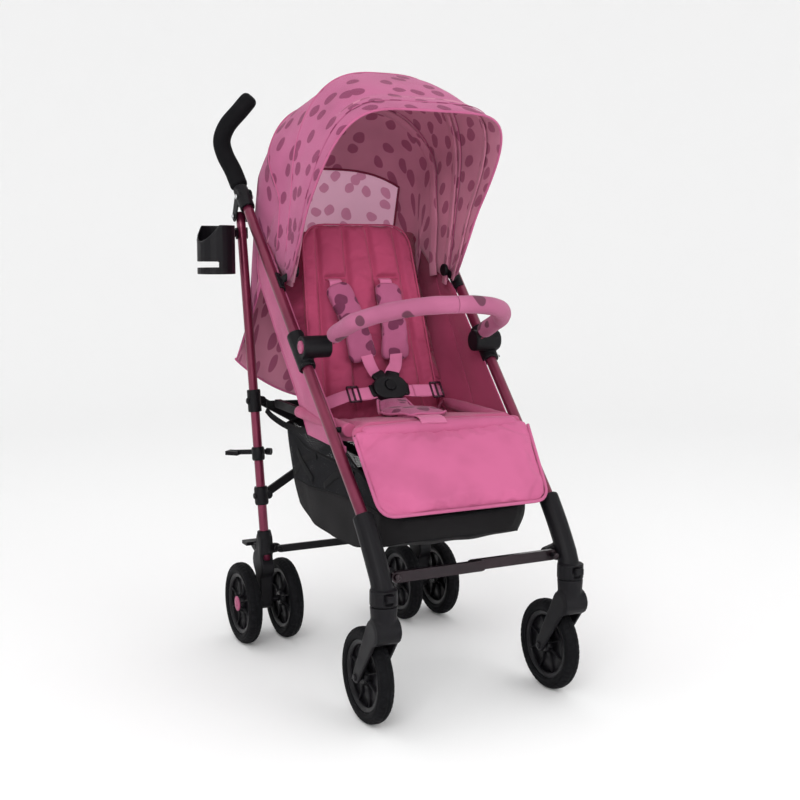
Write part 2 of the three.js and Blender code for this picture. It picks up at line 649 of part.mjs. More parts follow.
add("canopy_mid", canopyPanel(canopySplits.mid - 1, canopySplits.rear, 4, 3), pinkPrint);
add("canopy_rear", canopyRear(), pinkPrint);
add("backrest", backrest(), pinkFabric);
add("seat_base", seatBase(), pinkFabric);
add("calf_pad", calfPad(), pinkFabric);
add("basket", basket(), blackFabric);
add("harness", harness(), pinkPrint);
add("buckle", buckle(), blackPlastic);
add("buckle_button", buckleButton(), blackPlastic);

// ---------------------------------------------------------------- origin at the bottom centre
const group = new THREE.Group();
group.add(frame);
const box = new THREE.Box3().setFromObject(frame, true);
const centre = box.getCenter(new THREE.Vector3());
frame.position.set(-centre.x, -centre.y, -box.min.z);

export default group;
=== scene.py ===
import math

import bpy
import numpy as np
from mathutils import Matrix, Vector


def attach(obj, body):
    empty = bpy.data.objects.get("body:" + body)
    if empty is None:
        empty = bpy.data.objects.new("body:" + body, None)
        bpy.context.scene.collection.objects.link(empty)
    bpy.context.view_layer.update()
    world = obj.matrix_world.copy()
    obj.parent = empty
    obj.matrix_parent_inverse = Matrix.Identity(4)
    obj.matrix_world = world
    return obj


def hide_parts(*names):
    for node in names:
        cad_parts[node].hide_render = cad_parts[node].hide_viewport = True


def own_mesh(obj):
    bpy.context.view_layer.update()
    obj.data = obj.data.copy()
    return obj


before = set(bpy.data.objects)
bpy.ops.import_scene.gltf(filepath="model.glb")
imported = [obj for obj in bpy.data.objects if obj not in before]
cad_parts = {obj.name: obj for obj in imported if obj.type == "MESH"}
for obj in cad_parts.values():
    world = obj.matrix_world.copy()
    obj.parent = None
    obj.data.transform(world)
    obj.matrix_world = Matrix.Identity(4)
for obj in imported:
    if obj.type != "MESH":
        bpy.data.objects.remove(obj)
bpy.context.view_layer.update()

# ---------------------------------------------------------------- places shared with the CAD
SHIFT = np.array([28.661125, -33.986618, 0.0])
SIDES = {"left": 1, "right": -1}
TUBE_FOOT, TUBE_HEAD = (180, -221, 325), (197, 283, 865)
LEG_FOOT, LEG_HEAD = (176, 258, 190), (197, 312, 838)
LEG_LEAN = math.atan2(54, 648)
BACK_FOOT, BACK_TOP = np.array([0, 100.0, 458]), np.array([0, 203.0, 828])
BACK_UP = (BACK_TOP - BACK_FOOT) / np.linalg.norm(BACK_TOP - BACK_FOOT)
BACK_OUT = np.array([0, -BACK_UP[2], BACK_UP[1]])
HINGE_Y, HINGE_Z = 133, 735
WHEEL_RADIUS = 80
BRACE_LOW, BRACE_HIGH = 293, 480  # heights of the brace's bracket and slider on the rear leg
BRACE_PIVOT_X = 165
LEVER_HEIGHT = 376  # the fold lever's collar on the right rear leg
HOOPS = {
    48: (367, 174, 5.2), 60: (352, 178, 4.2), 72: (358, 180, 3.4), 82: (362, 182, 3.1),
    95: (352, 192, 3), 110: (344, 205, 3), 132: (325, 211, 3),
}


def at(point):
    return (np.asarray(point, float) + SHIFT) / 1000


def mix(a, b, t):
    return np.asarray(a, float) * (1 - t) + np.asarray(b, float) * t


def on_tube(s, z):
    t = (z - TUBE_FOOT[2]) / (TUBE_HEAD[2] - TUBE_FOOT[2])
    return mix(TUBE_FOOT, TUBE_HEAD, t) * (s, 1, 1)


def on_leg(s, z):
    t = (z - LEG_FOOT[2]) / (LEG_HEAD[2] - LEG_FOOT[2])
    return mix(LEG_FOOT, LEG_HEAD, t) * (s, 1, 1)


def on_back(across, up, out=0.0):
    return np.array([across, 0, 0]) + BACK_FOOT + BACK_UP * up + BACK_OUT * out


def ease(t):
    t = np.clip(t, 0, 1)
    return t * t * (3 - 2 * t)


# ---------------------------------------------------------------- materials
class Shader:
    """A Principled material whose nodes are added one by one."""

    def __init__(self, name, color, roughness, metallic=0.0, sheen=0.0, coat=0.0, shine=0.3):
        self.material = bpy.data.materials.new(name)
        self.material.use_nodes = True
        self.nodes, self.links = self.material.node_tree.nodes, self.material.node_tree.links
        self.bsdf = self.nodes["Principled BSDF"]
        self.color = (*color, 1)
        self.put(self.bsdf, **{"Base Color": self.color, "Roughness": roughness,
                               "Metallic": metallic, "Sheen Weight": sheen,
                               "Specular IOR Level": shine,
                               "Sheen Roughness": 0.4, "Coat Weight": coat,
                               "Coat Roughness": 0.25})
        self.coordinates = self.nodes.new("ShaderNodeTexCoord")

    def put(self, node, **values):
        for key, value in values.items():
            target = node.inputs[key]
            if isinstance(value, bpy.types.NodeSocket):
                self.links.new(value, target)
            else:
                target.default_value = value
        return node

    def add(self, kind, settings=(), **values):
        node = self.nodes.new("ShaderNode" + kind)
        for key, value in dict(settings).items():
            setattr(node, key, value)
        return self.put(node, **values)

    def space(self, kind, scale):
        mapping = self.add("Mapping", Vector=self.coordinates.outputs[kind])
        mapping.inputs["Scale"].default_value = (scale, scale, scale)
        return mapping.outputs["Vector"]

    def noise(self, kind, scale, detail=3.0):
        return self.add("TexNoise", Vector=self.space(kind, 1.0), Scale=scale,
                        Detail=detail).outputs["Fac"]

    def blend(self, factor, a, b):
        node = self.add("Mix", {"data_type": "RGBA"})
        for socket, value in ((node.inputs[0], factor), (node.inputs[6], a), (node.inputs[7], b)):
            if isinstance(value, bpy.types.NodeSocket):
                self.links.new(value, socket)
            else:
                socket.default_value = value
        return node.outputs[2]

    def ramp(self, value, low, high):
        return self.add("MapRange", {"interpolation_type": "SMOOTHSTEP"}, Value=value,
                        **{"From Min": low, "From Max": high}).outputs["Result"]

    def bump(self, height, distance, strength=1.0):
        node = self.add("Bump", Height=height, Distance=distance, Strength=strength)
        previous = self.bsdf.inputs["Normal"]
        if previous.is_linked:
            self.links.new(previous.links[0].from_socket, node.inputs["Normal"])
        self.links.new(node.outputs["Normal"], previous)

    def weave(self, pitch, depth, kind="UV"):
        """Two crossed sets of threads, pitch metres apart."""
        bands = []
        for direction in ("X", "Y"):
            wave = self.add("TexWave", {"bands_direction": direction}, Distortion=0.6,
                            Vector=self.space(kind, 1.0), Scale=0.314 / pitch)
            bands.append(wave.outputs["Fac"])
        both = self.add("Math", {"operation": "MAXIMUM"})
        self.links.new(bands[0], both.inputs[0])
        self.links.new(bands[1], both.inputs[1])
        self.bump(both.outputs[0], depth, 0.6)

    def shade(self, amount, scale=9.0):
        """Soft lighter and darker patches, as in cloth that has been handled."""
        source = self.bsdf.inputs["Base Color"]
        base = source.links[0].from_socket if source.is_linked else self.color
        dark = self.add("MixRGB", {"blend_type": "MULTIPLY"}, Fac=amount, Color1=base,
                        Color2=(0.45, 0.4, 0.42, 1))
        patches = self.ramp(self.noise("Object", scale), 0.35, 0.7)
        self.links.new(self.blend(patches, base, dark.outputs[0]), source)

    def spots(self, color, spacing, radius, kind="UV"):
        """Scattered printed spots, none of them quite round."""
        dimension = "2D" if kind == "UV" else "3D"
        wobble = self.add("TexNoise", Scale=1.3 / spacing, Detail=1.0, Vector=self.space(kind, 1.0))
        moved = self.add("VectorMath", {"operation": "MULTIPLY_ADD"})
        self.links.new(wobble.outputs["Color"], moved.inputs[0])
        moved.inputs[1].default_value = (0.35 * spacing,) * 3
        self.links.new(self.space(kind, 1.0), moved.inputs[2])
        cells = self.add("TexVoronoi", {"voronoi_dimensions": dimension}, Scale=1 / spacing,
                         Randomness=0.8, Vector=moved.outputs["Vector"])
        edge = radius / spacing
        inside = self.ramp(cells.outputs["Distance"], edge * 1.06, edge * 0.94)
        base = self.blend(inside, self.color, (*color, 1))
        self.links.new(base, self.bsdf.inputs["Base Color"])
        return inside


def cloth(name, color, pitch=0.0011, depth=0.0003, kind="UV", sheen=0.12, patches=0.3,
          spot=None, spacing=0.047, radius=0.0125, shine=0.2, painted_glow=0.0):
    shader = Shader(name, color, 0.86, sheen=sheen, shine=shine)
    if spot:
        shader.spots(spot, spacing, radius, kind)
    shader.shade(patches)
    if painted_glow:  # painted light: the cloth glows with its own colour, standing in for daylight shining through thin cloth
        shader.put(shader.bsdf, **{"Emission Strength": painted_glow})
        shader.links.new(shader.bsdf.inputs["Base Color"].links[0].from_socket,
                         shader.bsdf.inputs["Emission Color"])
    shader.bump(shader.noise(kind, 55.0, 4.0), 0.0011, 0.35)
    shader.weave(pitch, depth, kind)
    return shader.material


def moulded_plastic(name, color, roughness, grain=420.0, depth=0.00012, shine=0.3):
    shader = Shader(name, color, roughness, shine=shine)
    shader.bump(shader.noise("Object", grain, 2.0), depth, 0.5)
    worn = shader.ramp(shader.noise("Object", 24.0), 0.3, 0.75)
    scale = shader.add("Math", {"operation": "MULTIPLY_ADD"})
    shader.links.new(scale.outputs[0], shader.bsdf.inputs["Roughness"])
    shader.links.new(worn, scale.inputs[0])
    scale.inputs[1].default_value, scale.inputs[2].default_value = 0.12, roughness - 0.06
    return shader.material


pink_canvas = cloth("pink_canvas", (0.52, 0.118, 0.25))
pink_seat = cloth("pink_seat", (0.44, 0.064, 0.145), kind="Object")
pink_base = cloth("pink_base", (0.46, 0.095, 0.2), kind="Object")
# Painted shade: a darker copy of the pink cloth for the inner faces of the side panels and for the
# gussets, where shade falls.
pink_painted_shade = cloth("pink_wing_painted_shade", (0.36, 0.052, 0.122))
pink_print = cloth("pink_print", (0.47, 0.12, 0.25), spot=(0.25, 0.04, 0.115))
print_object = cloth("print_small", (0.42, 0.108, 0.22), kind="Object", spot=(0.17, 0.035, 0.085),
                     spacing=0.034, radius=0.0122)
print_bar = cloth("print_bar", (0.43, 0.125, 0.235), kind="Object", spot=(0.15, 0.045, 0.08),
                  spacing=0.06, radius=0.015)
# Painted light: the lining and the window glow with their own colour, and their pale colours are
# partly their own and partly lightened, standing in for daylight shining through the thin canopy.
lining = cloth("lining", (0.5, 0.19, 0.28), spot=(0.3, 0.08, 0.15), painted_glow=0.1)
window_cloth = cloth("window_cloth", (0.7, 0.42, 0.55), spot=(0.5, 0.2, 0.32), radius=0.011,
                     spacing=0.04, patches=0.1, painted_glow=0.33)
webbing = cloth("pink_webbing", (0.64, 0.18, 0.34), pitch=0.0016, depth=0.0005)
piping_pink = cloth("piping_pink", (0.5, 0.12, 0.25), kind="Object")
piping_dark = cloth("piping_dark", (0.24, 0.035, 0.08), kind="Object")
DULL = {"sheen": 0.03, "shine": 0.12}
black_canvas = cloth("black_canvas", (0.012, 0.011, 0.012), pitch=0.0016, depth=0.0004, **DULL)
black_webbing = cloth("black_webbing", (0.006, 0.006, 0.007), pitch=0.002, depth=0.0005, **DULL)
black_plastic = moulded_plastic("black_plastic", (0.005, 0.0045, 0.006), 0.5, shine=0.16)
black_trim = moulded_plastic("black_trim", (0.006, 0.0055, 0.007), 0.4, shine=0.18)
black_foam = moulded_plastic("black_foam", (0.006, 0.006, 0.007), 0.85, 900.0, 0.0005, 0.1)
tyre_rubber = moulded_plastic("tyre_rubber", (0.004, 0.004, 0.005), 0.75, 700.0, 0.0003, 0.1)
plum_plastic = moulded_plastic("plum_adjuster", (0.035, 0.008, 0.018), 0.3)
cap_pink = moulded_plastic("cap_pink", (0.36, 0.075, 0.16), 0.45)
rivet_steel = Shader("rivet_steel", (0.62, 0.62, 0.64), 0.28, metallic=1.0).material


def plum_paint(name, color, shadow):
    shader = Shader(name, color, 0.34, metallic=0.6, coat=0.4)
    flakes = shader.noise("Object", 1500.0, 1.0)
    shader.bump(flakes, 0.00004, 0.4)
    tint = shader.blend(shader.ramp(shader.noise("Object", 14.0), 0.3, 0.7), shader.color,
                        (*shadow, 1))
    shader.links.new(tint, shader.bsdf.inputs["Base Color"])
    return shader.material


def net(name, color, pitch):
    """An open knitted net: round holes on a fine grid."""
    shader = Shader(name, color, 0.8, shine=0.12)
    cells = shader.add("TexVoronoi", {"voronoi_dimensions": "2D"}, Scale=1 / pitch,
                       Randomness=0.05, Vector=shader.space("UV", 1.0))
    solid = shader.ramp(cells.outputs["Distance"], 0.22, 0.3)
    shader.put(shader.bsdf, Alpha=solid)
    shader.bump(cells.outputs["Distance"], 0.0004, 0.6)
    return shader.material


plum_metal = plum_paint("plum_paint", (0.2, 0.024, 0.062), (0.15, 0.015, 0.045))
dark_plum = plum_paint("plum_paint_dark", (0.016, 0.005, 0.009), (0.01, 0.004, 0.007))
black_net = net("black_net", (0.01, 0.01, 0.012), 0.0034)


# ---------------------------------------------------------------- building pieces
def piece(name, points, faces, materials, indices=None, uv=None, scale=True):
    """A smooth mesh object; points are millimetres about the mid-plane."""
    verts = at(points) if scale else np.asarray(points, float)
    mesh = bpy.data.meshes.new(name)
    mesh.from_pydata([tuple(v) for v in verts], [], [tuple(f) for f in faces])
    for material in materials:
        mesh.materials.append(material)
    if indices is not None:
        mesh.polygons.foreach_set("material_index", np.asarray(indices, np.int32))
    mesh.polygons.foreach_set("use_smooth", np.ones(len(mesh.polygons), bool))
    if uv is not None:
        loops = np.empty(len(mesh.loops), np.int32)
        mesh.loops.foreach_get("vertex_index", loops)
        layer = mesh.uv_layers.new(name="UVMap")
        layer.data.foreach_set("uv", np.asarray(uv, np.float32)[loops].ravel())
    mesh.update()
    made = bpy.data.objects.new(name, mesh)
    bpy.context.scene.collection.objects.link(made)
    return made


def settle(made, body, fold=None, replaces=()):
    """Gives a piece its body, gives a folding one a mesh of its own, and hides the CAD parts it
    replaces.
    """
    if fold:
        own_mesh(made)
    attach(made, body)
    if replaces:
        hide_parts(*replaces)
    return made


def lengths(grid, axis):
    """Distance along a grid of points, in metres."""
    steps = np.linalg.norm(np.diff(grid, axis=axis), axis=2) / 1000
    pad = [(1, 0), (0, 0)] if axis == 0 else [(0, 0), (1, 0)]
    return np.pad(np.cumsum(steps, axis=axis), pad)


def distances(path):
    """Distance from a path's first point to each of its points."""
    return np.concatenate([[0], np.cumsum(np.linalg.norm(np.diff(path, axis=0), axis=1))])


def ring_quads(rings, around, closed=False):
    """The faces between rings of points; closed joins the last ring to the first."""
    faces = []
    for i in range(rings if closed else rings - 1):
        after = (i + 1) % rings
        for j in range(around):
            k = (j + 1) % around
            faces.append((i * around + j, i * around + k, after * around + k, after * around + j))
    return faces


def vertices(mesh):
    """A mesh's points, in metres."""
    points = np.empty(len(mesh.vertices) * 3)
    mesh.vertices.foreach_get("co", points)
    return points.reshape(-1, 3)


def repaint(mesh, material):
    mesh.materials.clear()
    mesh.materials.append(material)


FLAT = {}  # width, length and area of each sheet's cut, in metres


def sheet(name, point, columns, rows, thickness, outer, inner=None, edge=None):
    """A closed thin sheet over point(u, v); its outer face is on the side of du x dv."""
    grid = np.array([[point(u / columns, v / rows) for u in range(columns + 1)]
                     for v in range(rows + 1)], float)
    du = np.gradient(grid, axis=1)
    dv = np.gradient(grid, axis=0)
    normal = np.cross(du, dv)
    normal /= np.maximum(np.linalg.norm(normal, axis=2, keepdims=True), 1e-9)
    stride = columns + 1
    across = lengths(grid, 1)
    across -= across[:, columns // 2][:, None]
    uv = np.stack([across, lengths(grid, 0)], axis=2).reshape(-1, 2)
    points = np.concatenate([grid.reshape(-1, 3), (grid - normal * thickness).reshape(-1, 3)])
    count = stride * (rows + 1)
    faces, indices = [], []
    for v in range(rows):
        for u in range(columns):
            a = v * stride + u
            faces.append((a, a + 1, a + 1 + stride, a + stride))
            faces.append((a + count, a + stride + count, a + 1 + stride + count, a + 1 + count))
            indices += [0, 1]
    rim = [(v * stride, (v + 1) * stride) for v in range(rows)]
    rim += [((v + 1) * stride + columns, v * stride + columns) for v in range(rows)]
    rim += [(u + 1, u) for u in range(columns)]
    rim += [(rows * stride + u, rows * stride + u + 1) for u in range(columns)]
    for a, b in rim:
        faces.append((a, b, b + count, a + count))
        indices.append(2)
    materials = [outer, inner or outer, edge or outer]
    cells = np.cross(grid[1:, 1:] - grid[:-1, :-1], grid[1:, :-1] - grid[:-1, 1:])
    area = np.linalg.norm(cells, axis=2).sum() / 2e6
    wide, long = np.ptp(across, axis=1).max(), lengths(grid, 0)[-1].max()
    FLAT[name] = (round(wide, 3), round(long, 3), min(area, wide * long))
    return piece(name, points, faces, materials, indices, np.concatenate([uv, uv]))


def declared(made, held, *rests_on):
    """Works out the flat size that a sheet's own surface gives; nothing is done with it."""
    wide, long, area = FLAT[made.name]
    long = min(long, 2 * area / wide)  # a tapering cut, as wide as at its widest


def curve(points, count):
    """A smooth curve through the points, as count evenly spaced ones."""
    p = np.asarray(points, float)
    p = np.concatenate([[2 * p[0] - p[1]], p, [2 * p[-1] - p[-2]]])
    fine = []
    for i in range(1, len(p) - 2):
        for t in np.linspace(0, 1, 16, endpoint=False):
            a, b, c, d = p[i - 1:i + 3]
            fine.append(0.5 * (2 * b + (c - a) * t + (2 * a - 5 * b + 4 * c - d) * t * t
                               + (3 * b - a - 3 * c + d) * t ** 3))
    fine = np.array(fine + [p[-2]])
    along = distances(fine)
    steps = np.linspace(0, along[-1], count)
    return np.stack([np.interp(steps, along, fine[:, k]) for k in range(3)], axis=1)


def round_section(radius, count=12):
    turns = np.linspace(0, 2 * math.pi, count, endpoint=False)
    return np.stack([np.cos(turns), np.sin(turns)], axis=1) * radius


def flat_section(width, thickness):
    """A strap's section, slightly fuller in the middle, with rounded edges."""
    half, edge = width / 2, thickness * 0.3
    upper = [(half, edge), (half * 0.94, thickness * 0.5), (half * 0.4, thickness * 0.56)]
    upper += [(-x, y) for x, y in reversed(upper)]
    return np.array(upper + [(-x, -y) for x, y in upper])


def swept(name, path, section, material, up=None, taper=None, closed=False):
    """A section carried along a path; up is the direction of the section's second axis."""
    path = np.asarray(path, float)
    count = len(path)
    if closed:
        tangent = np.roll(path, -1, axis=0) - np.roll(path, 1, axis=0)
    else:
        tangent = np.gradient(path, axis=0)
    tangent /= np.linalg.norm(tangent, axis=1, keepdims=True)
    if up is None:
        side = np.cross(tangent[0], (0.3, 0.2, 1.0))
        ups = []
        for t in tangent:
            side = side - t * (side @ t)
            side /= np.linalg.norm(side)
            ups.append(np.cross(side, t))
        ups = np.array(ups)
    else:
        ups = np.broadcast_to(np.asarray(up, float), path.shape)
        ups = ups - tangent * np.sum(ups * tangent, axis=1, keepdims=True)
        ups = ups / np.linalg.norm(ups, axis=1, keepdims=True)
    sides = np.cross(tangent, ups)
    taper = np.ones(count) if taper is None else np.asarray(taper, float)
    k = len(section)
    points = np.concatenate([path[i] + (section[:, :1] * sides[i] + section[:, 1:] * ups[i])
                             * taper[i] for i in range(count)])
    uv = [(a / 1000, b / 1000) for b in distances(path) for a in distances(section)]
    faces = ring_quads(count, k, closed)
    if not closed:
        faces.append(tuple(reversed(range(k))))
        faces.append(tuple(range((count - 1) * k, count * k)))
    made = piece(name, points, faces, [material], uv=uv)
    if not closed:
        for face in made.data.polygons[-2:]:
            face.use_smooth = False
    return made


def turned(name, profile, centre, axis, material, facets=48, shape=None):
    """A ring or disc turned about an axis; profile is a closed loop of (radius, along)."""
    axis = np.asarray(axis, float) / np.linalg.norm(axis)
    first = np.cross(axis, (0, 0.3, 1.0))
    first /= np.linalg.norm(first)
    second = np.cross(axis, first)
    points = []
    for i in range(facets):
        turn = 2 * math.pi * i / facets
        spoke = first * math.cos(turn) + second * math.sin(turn)
        loop = shape(profile, turn) if shape else profile
        points += [np.asarray(centre) + spoke * r + axis * w for r, w in loop]
    return piece(name, points, ring_quads(facets, len(profile), closed=True), [material])


def joined(name, parts):
    """Several pieces made into one object."""
    bpy.ops.object.select_all(action="DESELECT")
    for part in parts:
        part.select_set(True)
    bpy.context.view_layer.objects.active = parts[0]
    bpy.ops.object.join()
    parts[0].name = name
    return parts[0]


def applied(made):
    """Turns a piece's modifiers into its mesh."""
    graph = bpy.context.evaluated_depsgraph_get()
    mesh = bpy.data.meshes.new_from_object(made.evaluated_get(graph))
    made.modifiers.clear()
    made.data = mesh
    return made


def modify(made, kind, **settings):
    modifier = made.modifiers.new(kind.lower(), kind)
    for key, value in settings.items():
        setattr(modifier, key, value)
    return modifier


def softened(name, node, material, voxel=0.0014, passes=6):
    """A CAD part with the rounded edges of a moulded one."""
    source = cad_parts[node]
    made = bpy.data.objects.new(name, source.data.copy())
    bpy.context.scene.collection.objects.link(made)
    repaint(made.data, material)
    modify(made, "REMESH", mode="VOXEL", voxel_size=voxel, use_smooth_shade=True)
    modify(made, "SMOOTH", factor=0.6, iterations=passes)
    applied(made)
    repaint(made.data, material)
    for polygon in made.data.polygons:
        polygon.material_index = 0
    return made


# ---------------------------------------------------------------- stuffed pads
def slab(name, outline, frame_at, thickness, material, dome=0.0):
    """A flat cushion blank: an outline in the pad's own plane, with rounded edges."""
    outline = np.asarray(outline, float)
    centre = outline.mean(axis=0)
    rings = [(0.965, 0.0), (0.99, 0.18), (1.0, 0.5), (0.99, 0.82), (0.965, 1.0)]
    points, faces = [], []
    count = len(outline)
    for shrink, depth in rings:
        for u, v in centre + (outline - centre) * shrink:
            points.append(frame_at(u, v, -thickness * depth))
    for ring in range(len(rings) - 1):
        for i in range(count):
            a, b = ring * count + i, ring * count + (i + 1) % count
            faces.append((a, a + count, b + count, b))
    front, back = len(points), len(points) + 1
    points.append(frame_at(*centre, dome))
    points.append(frame_at(*centre, -thickness - dome))
    last = (len(rings) - 1) * count
    for i in range(count):
        j = (i + 1) % count
        faces.append((i, j, front))
        faces.append((last + j, last + i, back))
    return piece(name, points, faces, [material])


def rounded(corners, radii, steps=7):
    """A closed outline through the corners, each rounded by its radius."""
    corners = [np.asarray(c, float) for c in corners]
    outline = []
    for i, corner in enumerate(corners):
        before, after = corners[i - 1], corners[(i + 1) % len(corners)]
        to_before = (before - corner) / np.linalg.norm(before - corner)
        to_after = (after - corner) / np.linalg.norm(after - corner)
        start, end = corner + to_before * radii[i], corner + to_after * radii[i]
        for t in np.linspace(0, 1, steps if radii[i] > 0 else 1):
            outline.append((1 - t) ** 2 * start + 2 * t * (1 - t) * corner + t * t * end)
    dense = []
    for i, p in enumerate(outline):
        q = outline[(i + 1) % len(outline)]
        parts = max(1, int(np.linalg.norm(q - p) / 14))
        dense += [p + (q - p) * k / parts for k in range(parts)]
    return np.array(dense)


def stuff(pads, frames=20):
    """Swells each cushion blank with air pressure, held along its sewn lines.

    pads holds (object, voxel in metres, most a point may move in metres, sewn) where sewn takes
    the points in millimetres and gives how firmly each is held, from 0 to 1."""
    rests = {}
    for made, voxel, most, sewn in pads:
        modify(made, "REMESH", mode="VOXEL", voxel_size=voxel, use_smooth_shade=True)
        modify(made, "SMOOTH", factor=0.5, iterations=3)
        applied(made)
        co = rests[made.name] = vertices(made.data)
        held = np.clip(sewn(co * 1000 - SHIFT), 0, 1)
        group = made.vertex_groups.new(name="sewn")
        for index in np.nonzero(held > 0.02)[0]:
            group.add([int(index)], float(held[index]), "REPLACE")
        cloth_mod = modify(made, "CLOTH")
        settings = cloth_mod.settings
        settings.quality = 5
        settings.mass = 0.25
        settings.tension_stiffness = settings.compression_stiffness = 12
        settings.shear_stiffness = 6
        settings.bending_stiffness = 0.4
        settings.use_pressure = True
        settings.uniform_pressure_force = 4.5
        settings.shrink_min = -0.03
        settings.effector_weights.gravity = 0
        settings.vertex_group_mass = "sewn"
        cloth_mod.point_cache.frame_start, cloth_mod.point_cache.frame_end = 1, frames
    scene = bpy.context.scene
    for number in range(1, frames + 1):
        scene.frame_set(number)
    graph = bpy.context.evaluated_depsgraph_get()
    for made, _, most, _ in pads:
        rest = rests[made.name]
        moved = vertices(made.evaluated_get(graph).data) - rest
        far = np.linalg.norm(moved, axis=1, keepdims=True)
        moved *= np.minimum(1, most / np.maximum(far, 1e-9))
        rest = rest + moved
        made.modifiers.clear()
        made.data.vertices.foreach_set("co", rest.ravel())
        modify(made, "SUBSURF", levels=1, render_levels=1)
        applied(made)
        made.vertex_groups.clear()
        for polygon in made.data.polygons:
            polygon.use_smooth = True
    scene.frame_set(1)


def carve(made, depth_at):
    """Moves each point by the vector, in millimetres, that depth_at gives for the points."""
    co = vertices(made.data)
    made.data.vertices.foreach_set("co", (co + depth_at(co * 1000 - SHIFT) / 1000).ravel())
    made.data.update()


# ---------------------------------------------------------------- canopy
# Where each bow's cloth ends below the hinge: the Y and Z of the flap's rounded lower edge.
FLAP = {48: (112, 727), 60: (122, 720), 72: (134, 717), 82: (146, 719), 95: (164, 728),
        110: (190, 738), 132: (248, 780)}
FLAP_X = 174


def between_bows(table, angle):
    angles = sorted(table)
    return [np.interp(angle, angles, [table[a][k] for a in angles]) for k in range(len(table[48]))]


def hoop_point(angle, along, inset=0.0):
    """A point of the canopy's bow at an angle; along runs from its right tip to its left tip."""
    reach, width, square = between_bows(HOOPS, angle)
    tip = math.asin((35 / reach) ** (square / 2))
    turn = math.pi - tip - (math.pi - 2 * tip) * along
    out = reach * math.sin(turn) ** (2 / square) - inset
    half = FLAP_X + (width - FLAP_X) * ease((out - 125) / 120) - inset
    cosine = math.cos(turn)
    across = half * math.copysign(abs(cosine) ** (2 / square), cosine)
    tilt = math.radians(angle)
    ahead, above = math.cos(tilt), math.sin(tilt)
    point = np.array([across, HINGE_Y - out * ahead, HINGE_Z + out * above])
    low_y, low_z = between_bows(FLAP, angle)
    pull = 1 - ease((out + inset - 35) / 125)
    return point + np.array([0, low_y - HINGE_Y + 35 * ahead, low_z - HINGE_Z - 35 * above]) * pull


def ripple(u, v, size, *waves):
    """Soft folds of a slack sheet: each wave is (columns, rows, turn)."""
    return size * sum(math.sin(2 * math.pi * (a * u + b * v) + c) for a, b, c in waves)


def outward(point):
    """From the canopy's middle to a point, at unit length."""
    away = np.asarray(point) - (0, HINGE_Y + 20, HINGE_Z + 60)
    return away / np.linalg.norm(away)


def canopy_panel(name, start, end, inset, rows, sag, waves):
    def point(u, v):
        base = hoop_point(start + (end - start) * v, u, inset)
        slack = math.sin(math.pi * v) * math.sin(math.pi * u) ** 0.5
        droop = sag * slack + ripple(u, v, 0.9, *waves) * slack
        return base - outward(base) * droop
    return sheet(name, point, 96, rows, 2.2, pink_print, lining, piping_pink)


def apron_point(u, v, inset=8.0):
    """The rear panel: down from the last bow to the hem behind the seat, lowest in the middle."""
    turn = math.pi * (1 - u)
    low = np.array([201 * math.cos(turn), 340 + 16 * math.sin(turn) ** 0.7,
                    468 + 90 * math.cos(turn) ** 2])
    bow = hoop_point(132, u, inset)
    point = mix(bow, low, v)
    point[0] = bow[0] + (low[0] - bow[0]) * v ** 1.6
    point[1] += 24 * math.sin(math.pi * v) * math.sin(math.pi * u) ** 0.6
    folds = 2.2 * math.sin(2 * math.pi * (3.2 * u + 0.4 * v)) * math.sin(math.pi * v) ** 0.5
    point[1] += folds * math.sin(math.pi * u)
    return point


def rear_point(u, v):
    """The whole rear shell: v up to 0.2 is over the top, the rest is the apron."""
    if v <= 0.2:
        return hoop_point(106 + 26 * v / 0.2, u, 8)
    return apron_point(u, (v - 0.2) / 0.8)


front_shell = canopy_panel("canopy_front_shell", 48, 83, 0, 28, 2.0,
                           [(3, 1.0, 0.4), (5, 0.5, 1.9)])
mid_shell = canopy_panel("canopy_mid_shell", 76, 112, 4, 24, 5.0, [(4, 0.7, 2.2), (7, 1.0, 0.3)])
rear_shell = sheet("canopy_rear_shell", rear_point, 96, 56, 2.2, pink_print, lining, piping_pink)


def bow_line(angle, inset, low=0.0, high=1.0, count=90):
    return [hoop_point(angle, u, inset) for u in np.linspace(low, high, count)]


def bow_strip(name, angle, inset, section, material):
    """A strip that lies flat against the cloth along one bow."""
    line = bow_line(angle, inset)
    return swept(name, line, section, material, up=[outward(p) for p in line])


front_trim = swept("canopy_front_piping", bow_line(48, 0.4), round_section(2.2), piping_pink)
front_seam = bow_strip("canopy_front_seam", 54, -0.3, flat_section(2.2, 0.8), pink_print)
front_bow = bow_strip("canopy_front_bow", 57, 4.6, flat_section(17, 3.0), lining)
mid_bow = bow_strip("canopy_mid_bow", 79, 10.5, flat_section(19, 4), lining)
rear_bow = bow_strip("canopy_rear_bow", 108, 14, flat_section(19, 4), lining)
mid_trim = swept("canopy_mid_piping", bow_line(82, 0.2, 0.02, 0.98), round_section(1.6),
                 piping_pink)
rear_trim = swept("canopy_rear_piping", bow_line(110, 4.2, 0.02, 0.98), round_section(1.6),
                  piping_pink)
hem_trim = swept("canopy_hem", [rear_point(u, 1.0) for u in np.linspace(0, 1, 80)],
                 round_section(2.6), piping_pink)


def window_point(u, v):
    """A panel sewn inside the rear shell, above the backrest."""
    along, down = 0.27 + 0.46 * u, 0.25 + 0.31 * v
    edge = min(u, 1 - u, v, 1 - v)
    base = rear_point(along, down)
    return base - outward(base) * (4.2 - 1.2 * ease(edge / 0.06) * 0.5)


window_panel = sheet("canopy_window", window_point, 40, 26, 1.2, window_cloth, window_cloth,
                     piping_dark)
window_edge = [window_point(u, v) for u, v in
               [(t, 0) for t in np.linspace(0, 1, 30)] + [(1, t) for t in np.linspace(0.03, 1, 24)]
               + [(t, 1) for t in np.linspace(0.97, 0, 30)]
               + [(0, t) for t in np.linspace(0.97, 0.03, 24)]]
window_trim = swept("canopy_window_piping", window_edge, round_section(2.4, 8), piping_dark,
                    closed=True)

